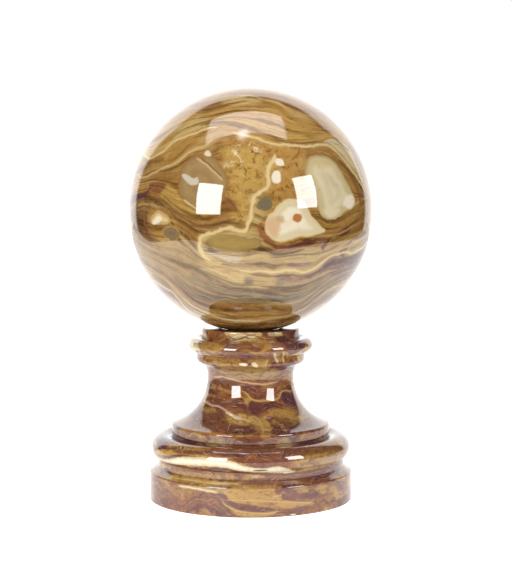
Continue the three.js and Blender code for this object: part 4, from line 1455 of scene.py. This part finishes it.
@dataclass(frozen=True)
class MaroonOnyx(PolishedStone):
    """Maroon and ochre stone with wavering level streaks and a white band, for the pedestal.

    Attributes:
        streak_pitch: how many wide streaks there are to a plinth's radius.
        streak_length: how often they change along their own plane, to a radius.
        fine_pitch: the same count for the fine lines.
        fine_length: and their changes along the plane.
    """

    streak_pitch: float = 9.0
    streak_length: float = 1.5
    fine_pitch: float = 34.0
    fine_length: float = 3.0

    def colour(self, bench: NodeBench, position: Any, wobble: bpy.types.Node) -> Any:
        """Wavering streaks, then the painted ground, fine lines, the white band, inlay, veins and flecks."""
        height = bench.axes(position)[2]
        sway = bench.math("MULTIPLY", wobble.outputs["Fine"], 0.06)
        sway = bench.math("MULTIPLY_ADD", wobble.outputs["Broad"], 0.55, sway)
        bedding = bench.placed_group(
            BeddingGroup().tree(),
            Position=position,
            Height=height,
            Sway=sway,
            Pitch=self.streak_pitch,
            Length=self.streak_length,
        )
        stops = (
            (0.30, Tone.PLUM),
            (0.38, Tone.WINE),
            (0.45, Tone.MAROON),
            (0.52, Tone.RUST),
            (0.57, Tone.BROWN),
            (0.62, Tone.OCHRE),
            (0.68, Tone.SAND),
        )
        colour = bench.ramp(bedding.outputs["Lines"], stops)
        colour = self.ground_over(bench, colour, "pedestal ground", wobble, 0.9)
        fine = bench.placed_group(
            BeddingGroup().tree(),
            Position=position,
            Height=height,
            Sway=bench.math("MULTIPLY", wobble.outputs["Broad"], 0.35),
            Pitch=self.fine_pitch,
            Length=self.fine_length,
        )
        colour = bench.mix(bench.ease(fine.outputs["Lines"], 0.34, 0.48, 0.7, 0.0), colour, Tone.MAROON)
        colour = bench.mix(bench.ease(fine.outputs["Lines"], 0.56, 0.68, 0.0, 0.5), colour, Tone.OCHRE)
        colour = bench.mix(bench.ease(fine.outputs["Threads"], 0.62, 0.72, 0.0, 0.45), colour, Tone.PEACH)
        cloud = bench.placed_group(CloudGroup().tree(), Position=position, Scale=5.0)
        low = bench.ease(cloud.outputs["Mottle"], 0.34, 0.5, 0.5, 0.0)
        colour = bench.mix(low, colour, Tone.TAN, "MULTIPLY")
        colour = self.pods_over(bench, colour, PEDESTAL_PODS, wobble)
        colour = self.ground_over(bench, colour, "pedestal inlay", wobble, 0.5)
        colour = self.veins_over(bench, colour, PEDESTAL_VEINS, wobble)
        flecks = bench.placed_group(FleckGroup().tree(), Position=position, Scale=30.0, Size=0.25, Share=0.05)
        colour = bench.mix(bench.math("MULTIPLY", flecks.outputs["Mask"], 0.5), colour, Tone.DUSK)
        return colour


# ---- The object's two pieces ---------------------------------------------------------------------


@dataclass(frozen=True)
class PolishedPiece(ABC):
    """A fine closed surface that stands for one solid.

    Attributes:
        name: the new piece's name.
        node: the solid that it stands for.
        slot: the record's material slot; not used.
    """

    name: str
    node: str
    slot: str

    @abstractmethod
    def surface(self) -> bpy.types.Mesh:
        """The piece's mesh, with its fields written on it."""

    @abstractmethod
    def finish(self) -> bpy.types.Material:
        """The piece's material."""

    @staticmethod
    def points(mesh: bpy.types.Mesh) -> np.ndarray:
        """The mesh's points, one row each."""
        flat = np.empty(len(mesh.vertices) * 3)
        mesh.vertices.foreach_get("co", flat)
        return flat.reshape(-1, 3)

    def place(self) -> bpy.types.Object:
        """Makes the object, dresses it, and puts it in the solid's stead.

        Returns:
            The finished piece.
        """
        mesh = self.surface()
        mesh.materials.append(self.finish())
        made = bpy.data.objects.new(self.name, mesh)
        bpy.context.scene.collection.objects.link(made)
        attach(made, "root")
        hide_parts(self.node)
        LOG.info("%s: %d points, %d faces", self.name, len(mesh.vertices), len(mesh.polygons))
        return made


@dataclass(frozen=True)
class OnyxBall(PolishedPiece):
    """The ball: its size and place, the lean of its stone's face, and the fineness of its grid.

    Attributes:
        turn_back: depth behind the edge, in radii, over which the back's own beds take over.
        back_squeeze: how far the back's beds are drawn together sideways, as a factor.
        back_shift: how far they are moved aside, in radii.
        bed_gap: least height between two bed borders, in radii.
    """

    name: str = "polished_ball"
    node: str = "sphere"
    slot: str = "golden_onyx"
    radius: float = 0.100
    centre: float = 0.238
    lean_degrees: float = 2.85
    segments: int = 450
    rings: int = 215
    turn_back: float = 0.6
    back_squeeze: float = 0.9
    back_shift: float = 0.08
    bed_gap: float = 0.004

    def profile(self) -> np.ndarray:
        """Half circle from the lower pole to the upper: (R sin p, c - R cos p), p from 0 to pi."""
        angle = math.pi * np.arange(self.rings + 1) / self.rings
        radius = self.radius * np.sin(angle)
        radius[[0, -1]] = 0.0
        return np.stack([radius, self.centre - self.radius * np.cos(angle)], axis=1)

    def flow(self, chart: BallChart) -> np.ndarray:
        """Bed level of every point.

        The bed borders' heights are curves over x; the back uses the same curves with x turned round, and
        the two are eased together behind the edge.  Between two borders the level runs straight from one
        border's level to the next by the share of the height between them.

        Args:
            chart: the ball's chart.

        Returns:
            One level for each point.
        """
        x, depth, height = chart.facing().T
        front = 1.0 - smooth_step(0.0, self.turn_back, depth)
        borders = np.empty((len(BALL_BEDS), len(x)))
        for row, bed in enumerate(BALL_BEDS):
            curve = flowing_curve(bed.course, False)
            here = np.interp(x, curve[:, 0], curve[:, 1])
            there = np.interp(self.back_shift - self.back_squeeze * x, curve[:, 0], curve[:, 1])
            borders[row] = here * front + there * (1.0 - front)
        rise = self.bed_gap * np.arange(len(BALL_BEDS))[:, None]
        borders = np.maximum.accumulate(borders + rise, axis=0)
        levels = np.array([bed.level for bed in BALL_BEDS])
        below = np.clip(np.sum(borders <= height[None, :], axis=0) - 1, 0, len(levels) - 2)
        column = np.arange(len(x))
        low, high = borders[below, column], borders[below + 1, column]
        share = np.clip((height - low) / np.maximum(high - low, 1e-4), 0.0, 1.0)
        return levels[below] + (levels[below + 1] - levels[below]) * share

    def surface(self) -> bpy.types.Mesh:
        """The ball's mesh, with its bed levels, grounds, zones, pods and veins."""
        mesh = revolved_mesh(self.name, self.profile(), self.segments, 60.0)
        directions = (self.points(mesh) - np.array([0.0, 0.0, self.centre])) / self.radius
        directions /= np.linalg.norm(directions, axis=1, keepdims=True)
        chart = BallChart(directions, math.radians(self.lean_degrees))
        store = FieldStore(chart, 1.0)
        store.scalars["ball flow"] = self.flow(chart)
        store.ground("ball ground", BALL_GROUND)
        store.ground("ball inlay", BALL_INLAY)
        store.zone("ball granular", BALL_GRANULAR)
        store.zone("ball lace", BALL_LACE)
        for pod in BALL_PODS:
            store.pod(pod)
        for vein in BALL_VEINS:
            store.vein(vein)
        store.write(mesh)
        return mesh

    def finish(self) -> bpy.types.Material:
        """The golden stone, its pattern counted in the ball's radii from its middle."""
        return GoldenOnyx("golden_onyx_polished", 1.0 / self.radius, self.centre).build()


@dataclass(frozen=True)
class TurnedPedestal(PolishedPiece):
    """The pedestal, turned from one block; its mouldings' sizes in millimetres, from the plinth up."""

    name: str = "polished_pedestal"
    node: str = "pedestal"
    slot: str = "maroon_onyx"
    segments: int = 400
    plinth_radius: float = 83.5
    plinth_wall: float = 22.6
    plinth_round: float = 1.7
    plinth_round_turn: float = 50.0
    ledge_top: float = 28.4
    fillet_radius: float = 77.1
    torus_path: float = 71.6
    torus_section: float = 10.3
    torus_height: float = 42.8
    step_radius: float = 64.4
    step_top: float = 54.1
    ring_radius: float = 65.2
    ring_chamfer: float = 0.8
    ring_top: float = 62.7
    ring_round: float = 2.0
    ring_round_turn: float = 70.0
    neck_radius: float = 35.5
    neck_height: float = 101.0
    bell_spread: float = 40.5
    bell_drop: float = 40.0
    cove_spread: float = 6.3
    cove_rise: float = 11.4
    collar_radius: float = 44.4
    collar_round: float = 3.5
    collar_round_turn: float = 75.0
    collar_torus_path: float = 45.0
    collar_torus_section: float = 6.1
    collar_torus_height: float = 127.3
    rim_radius: float = 40.1
    rim_top: float = 141.2
    rim_round: float = 1.0
    ball_radius: float = 100.0
    ball_height: float = 238.0
    seat_gap: float = 0.3

    @staticmethod
    def torus_angle(radius: float, path: float, section: float, side: float) -> float:
        """Angle at which a torus section crosses a radius, on its upper or lower side, in degrees."""
        return side * math.degrees(math.acos((radius - path) / section))

    def foot(self) -> list[np.ndarray]:
        """Plinth, fillet, base torus and foot ring, from the underside's middle up."""
        low = self.torus_angle(self.fillet_radius, self.torus_path, self.torus_section, -1.0)
        high = self.torus_angle(self.step_radius, self.torus_path, self.torus_section, 1.0)
        corner = self.plinth_radius - self.plinth_round
        inset = self.ring_radius - self.ring_round
        return [
            line((0.0, 0.0), (self.plinth_radius, 0.0), 8),
            line((self.plinth_radius, 0.0), (self.plinth_radius, self.plinth_wall), 22),
            arc(
                corner,
                self.plinth_wall,
                self.plinth_round,
                self.plinth_round,
                0.0,
                self.plinth_round_turn,
                6,
            ),
            np.array([(self.fillet_radius + 2.0, self.ledge_top - 2.4)]),
            line(
                (self.fillet_radius, self.ledge_top),
                (
                    self.torus_path + self.torus_section * math.cos(math.radians(low)),
                    self.torus_height + self.torus_section * math.sin(math.radians(low)),
                ),
                4,
            ),
            arc(self.torus_path, self.torus_height, self.torus_section, self.torus_section, low, high, 44),
            np.array([(self.step_radius, self.step_top)]),
            line(
                (self.ring_radius, self.step_top + self.ring_chamfer),
                (self.ring_radius, self.ring_top - self.ring_round),
                6,
            ),
            arc(
                inset,
                self.ring_top - self.ring_round,
                self.ring_round,
                self.ring_round,
                0.0,
                self.ring_round_turn,
                7,
            ),
        ]

    def stem(self) -> list[np.ndarray]:
        """The bell's flare, the neck and the cove, as two quarters of ellipses that meet at the neck."""
        flare = 180.0 + math.degrees(math.asin((self.neck_height - self.ring_top) / self.bell_drop))
        bell_middle = self.neck_radius + self.bell_spread
        cove_middle = self.neck_radius + self.cove_spread
        return [
            arc(bell_middle, self.neck_height, self.bell_spread, self.bell_drop, flare, 180.0, 54)[:-1],
            arc(cove_middle, self.neck_height, self.cove_spread, self.cove_rise, 180.0, 90.0, 16),
        ]

    def collar(self) -> list[np.ndarray]:
        """Collar ring, collar torus, rim, and the dished seat that follows the ball a hair below it."""
        ring_middle = self.collar_radius - self.collar_round
        ring_height = self.neck_height + self.cove_rise + self.collar_round
        low = self.torus_angle(self.collar_radius, self.collar_torus_path, self.collar_torus_section, -1.0)
        high = self.torus_angle(self.rim_radius, self.collar_torus_path, self.collar_torus_section, 1.0)
        torus_low = self.collar_torus_height + self.collar_torus_section * math.sin(math.radians(low))
        torus_high = self.collar_torus_height + self.collar_torus_section * math.sin(math.radians(high))
        seat_radius = self.ball_radius + self.seat_gap
        mouth = math.degrees(math.acos((self.ball_height - self.rim_top) / seat_radius))
        rim_middle = self.rim_radius - self.rim_round
        seat = arc(0.0, self.ball_height, seat_radius, seat_radius, mouth - 90.0, -90.0, 10)
        seat[-1, 0] = 0.0
        return [
            arc(
                ring_middle,
                ring_height,
                self.collar_round,
                self.collar_round,
                -self.collar_round_turn,
                0.0,
                8,
            ),
            line((self.collar_radius, ring_height + 0.5), (self.collar_radius, torus_low), 5),
            arc(
                self.collar_torus_path, self.collar_torus_height, self.collar_torus_section,
                self.collar_torus_section, low, high, 34,
            ),
            line((self.rim_radius, torus_high + 0.5), (self.rim_radius, self.rim_top - self.rim_round), 6),
            arc(rim_middle, self.rim_top - self.rim_round, self.rim_round, self.rim_round, 0.0, 90.0, 5),
            seat,
        ]

    def profile(self) -> np.ndarray:
        """The whole profile in millimetres, from the underside's middle to the seat's."""
        return np.vstack(self.foot() + self.stem() + self.collar())

    def surface(self) -> bpy.types.Mesh:
        """The pedestal's mesh, with its grounds, pods and veins placed round it and up its profile."""
        profile = self.profile()
        mesh = revolved_mesh(self.name, profile / 1000.0, self.segments, 22.0)
        x, y, _ = self.points(mesh).T
        steps = np.hypot(*np.diff(profile, axis=0).T)
        run = np.concatenate([[0.0], np.cumsum(steps)]) - self.plinth_radius
        rings = np.repeat(run[1:-1], self.segments)
        chart = TurnedChart(
            np.arctan2(x, -y),
            np.concatenate([rings, [run[0], run[-1]]]),
            np.maximum(np.hypot(x, y) * 1000.0, 1.0),
        )
        store = FieldStore(chart, self.plinth_radius)
        store.ground("pedestal ground", PEDESTAL_GROUND)
        store.ground("pedestal inlay", PEDESTAL_INLAY)
        for pod in PEDESTAL_PODS:
            store.pod(pod)
        for vein in PEDESTAL_VEINS:
            store.vein(vein)
        store.write(mesh)
        return mesh

    def finish(self) -> bpy.types.Material:
        """The maroon stone, its pattern counted in the plinth's radii from the neck's middle."""
        return MaroonOnyx("maroon_onyx_polished", 1000.0 / self.plinth_radius, 0.07).build()


# ---- Studio --------------------------------------------------------------------------------------


@dataclass(frozen=True)
class Table:
    """The plain white table with rounded front corners: depths from the axis, and each side's reach there."""

    depths: tuple[float, ...] = (-0.375, -0.37, -0.34, -0.27, -0.15, 0.03, 0.22, 0.40, 0.64, 0.96, 1.7)
    left: tuple[float, ...] = (0.36, 0.42, 0.50, 0.56, 0.61, 0.65, 0.69, 0.76, 0.91, 1.06, 1.4)
    right: tuple[float, ...] = (0.18, 0.24, 0.31, 0.43, 0.57, 0.67, 0.74, 0.81, 0.92, 1.03, 1.4)
    reflectance: float = 0.86
    glow: float = 0.75

    def build(self) -> bpy.types.Object:
        """A flat sheet: at each depth a row of points runs evenly from the left side to the right.

        Returns:
            The table.
        """
        depth = np.array(self.depths)
        left, right = -np.array(self.left), np.array(self.right)
        count = 9
        share = np.linspace(0.0, 1.0, count)
        x = left[:, None] + (right - left)[:, None] * share[None, :]
        y = np.repeat(depth[:, None], count, axis=1)
        points = np.stack([x, y, np.zeros_like(x)], axis=-1).reshape(-1, 3)
        row, column = np.arange(len(depth) - 1)[:, None] * count, np.arange(count - 1)[None, :]
        corner = row + column
        faces = np.stack([corner, corner + 1, corner + count + 1, corner + count], axis=-1)
        mesh = bpy.data.meshes.new("table_top")
        mesh.from_pydata(points.tolist(), [], faces.reshape(-1, 4).tolist())
        mesh.materials.append(self.paint())
        made = bpy.data.objects.new("table_top", mesh)
        bpy.context.scene.collection.objects.link(made)
        return made

    def paint(self) -> bpy.types.Material:
        """Matt white, lit a little from within as a light table is."""
        made = bpy.data.materials.new("table_white")
        made.use_nodes = True
        face = made.node_tree.nodes["Principled BSDF"]
        face.inputs["Base Color"].default_value = (self.reflectance,) * 3 + (1.0,)
        face.inputs["Roughness"].default_value = 0.6
        face.inputs["Specular IOR Level"].default_value = 0.1
        face.inputs["Emission Color"].default_value = (1.0, 1.0, 1.0, 1.0)
        face.inputs["Emission Strength"].default_value = self.glow
        return made


@dataclass(frozen=True)
class Softbox:
    """A rectangular or oval light that the camera doesn't see.

    Attributes:
        name: the light's name.
        place: where its middle is, in metres.
        aim: the point that it faces.
        width: its width in metres.
        height: its height in metres.
        radiance: brightness of its face, where 1 is a white that just shows as white.
        tint: its colour.
        oval: whether its outline is an ellipse.
        feather: how far in from its edge its face comes to full brightness, as a share of its half width.
    """

    name: str
    place: tuple[float, float, float]
    aim: tuple[float, float, float]
    width: float
    height: float
    radiance: float
    tint: tuple[float, float, float] = (1.0, 1.0, 1.0)
    oval: bool = False
    feather: float = 0.0

    def soften(self, data: bpy.types.AreaLight) -> None:
        """Fades the face out towards its edge: brightness eases from 0 at the edge to 1 a feather inside."""
        data.use_nodes = True
        bench = NodeBench(data.node_tree)
        glow = data.node_tree.nodes["Emission"]
        first, second, _ = bench.axes(bench.node("ShaderNodeNewGeometry").outputs["Parametric"])
        across = bench.math("MULTIPLY_ADD", first, 2.0, -1.0)
        along = bench.math("MULTIPLY_ADD", second, 2.0, -1.0)
        if self.oval:
            square = bench.math(
                "ADD", bench.math("MULTIPLY", across, across), bench.math("MULTIPLY", along, along)
            )
            mask = bench.ease(bench.math("SQRT", square, 0.0), 1.0 - self.feather, 1.0, 1.0, 0.0)
        else:
            sides = bench.ease(bench.math("ABSOLUTE", across, 0.0), 1.0 - self.feather, 1.0, 1.0, 0.0)
            ends = bench.ease(bench.math("ABSOLUTE", along, 0.0), 1.0 - self.feather, 1.0, 1.0, 0.0)
            mask = bench.math("MULTIPLY", sides, ends)
        bench.feed(glow.inputs["Strength"], mask)

    def build(self) -> bpy.types.Object:
        """Makes the area light; its power is pi times its area times its face's brightness.

        Returns:
            The light.
        """
        data = bpy.data.lights.new(self.name, "AREA")
        data.shape = "ELLIPSE" if self.oval else "RECTANGLE"
        data.size, data.size_y = self.width, self.height
        area = self.width * self.height * (math.pi / 4.0 if self.oval else 1.0)
        data.energy = math.pi * area * self.radiance
        data.color = self.tint
        if self.feather > 0.0:
            self.soften(data)
        made = bpy.data.objects.new(self.name, data)
        made.location = self.place
        made.rotation_euler = (Vector(self.aim) - Vector(self.place)).to_track_quat("-Z", "Y").to_euler()
        made.visible_camera = False
        bpy.context.scene.collection.objects.link(made)
        return made


@dataclass(frozen=True)
class Room:
    """What lies past the table: a white backdrop behind, a dark room in front, and plain white to the eye."""

    backdrop: float = 1.9
    lean: float = 0.15
    dark: float = 0.04
    ceiling: float = 0.10
    half_spread: float = 0.98
    top_slope: float = 1.03
    softness: float = 0.11

    def build(self) -> bpy.types.World:
        """World nodes: a direction is on the backdrop when y > 0, |x| < spread * y and z < slope * y.

        Returns:
            The world.
        """
        world = bpy.data.worlds.new("studio_room")
        bpy.context.scene.world = world
        world.use_nodes = True
        world.node_tree.nodes.clear()
        bench = NodeBench(world.node_tree)
        x, y, z = bench.axes(bench.node("ShaderNodeTexCoord").outputs["Generated"])
        ahead = bench.math("MAXIMUM", y, 0.001)
        side = bench.math("DIVIDE", bench.math("ABSOLUTE", x), ahead)
        rise = bench.math("DIVIDE", z, ahead)
        spread, slope, soft = self.half_spread, self.top_slope, self.softness
        within = bench.ease(side, spread - soft, spread + soft, 1.0, 0.0)
        under = bench.ease(rise, slope - soft, slope + soft, 1.0, 0.0)
        behind = bench.math("GREATER_THAN", y, 0.0)
        mask = bench.math("MULTIPLY", bench.math("MULTIPLY", within, under), behind)
        gloom = bench.spread(z, 0.2, 1.0, self.dark, self.ceiling)
        white = bench.math("MULTIPLY_ADD", x, -self.lean, self.backdrop)
        level = bench.math("MULTIPLY_ADD", mask, white, gloom)
        seen = bench.node("ShaderNodeLightPath").outputs["Is Camera Ray"]
        strength = bench.math("ADD", bench.math("MULTIPLY", level, bench.math("SUBTRACT", 1.0, seen)), seen)
        sky = bench.node("ShaderNodeBackground")
        sky.inputs["Color"].default_value = (1.0, 1.0, 1.0, 1.0)
        bench.feed(sky.inputs["Strength"], strength)
        bench.feed(bench.node("ShaderNodeOutputWorld").inputs["Surface"], sky.outputs[0])
        return world


@dataclass(frozen=True)
class StudioCamera:
    """The camera: where it stands, how far it looks down and aside, and its lens, in millimetres."""

    place: tuple[float, float, float] = (0.0, -1.485, 0.312)
    down_degrees: float = 5.172
    aside_degrees: float = 0.172
    lens: float = 115.33

    def build(self) -> bpy.types.Object:
        """Makes the camera and hands it to the scene.

        Returns:
            The camera.
        """
        data = bpy.data.cameras.new("studio_camera")
        data.lens = self.lens
        data.sensor_width = 36.0
        data.clip_start, data.clip_end = 0.05, 50.0
        made = bpy.data.objects.new("studio_camera", data)
        made.location = self.place
        made.rotation_euler = (
            math.radians(90.0 - self.down_degrees),
            0.0,
            math.radians(-self.aside_degrees),
        )
        bpy.context.scene.collection.objects.link(made)
        bpy.context.scene.camera = made
        return made


BALL_MIDDLE: tuple[float, float, float] = (0.0, 0.0, 0.238)

SOFTBOXES: tuple[Softbox, ...] = (
    Softbox("softbox_left", (-1.221, -1.535, 0.626), BALL_MIDDLE, 0.85, 0.94, 16.0, feather=0.06),
    Softbox("softbox_right", (1.535, -1.157, 0.789), BALL_MIDDLE, 0.73, 0.94, 14.5, feather=0.08),
    Softbox("overhead_panel", (-0.07, 0.03, 1.30), (-0.07, 0.68, 0.54), 1.06, 0.76, 4.2, (1.0, 0.95, 0.95),
        feather=0.12),
    Softbox("overhead_bulb", (-0.10, -0.30, 1.24), BALL_MIDDLE, 0.24, 0.34, 9.0, (0.9, 0.95, 1.0),
        oval=True, feather=0.9),
)


def main() -> None:
    """Builds the studio and both pieces."""
    logging.basicConfig(level=logging.INFO, format="%(message)s")
    StudioCamera().build()
    bpy.context.scene.view_settings.view_transform = "Standard"
    Room().build()
    Table().build()
    for softbox in SOFTBOXES:
        softbox.build()
    for piece in (TurnedPedestal(), OnyxBall()):
        piece.place()


if __name__ == "__main__":
    main()
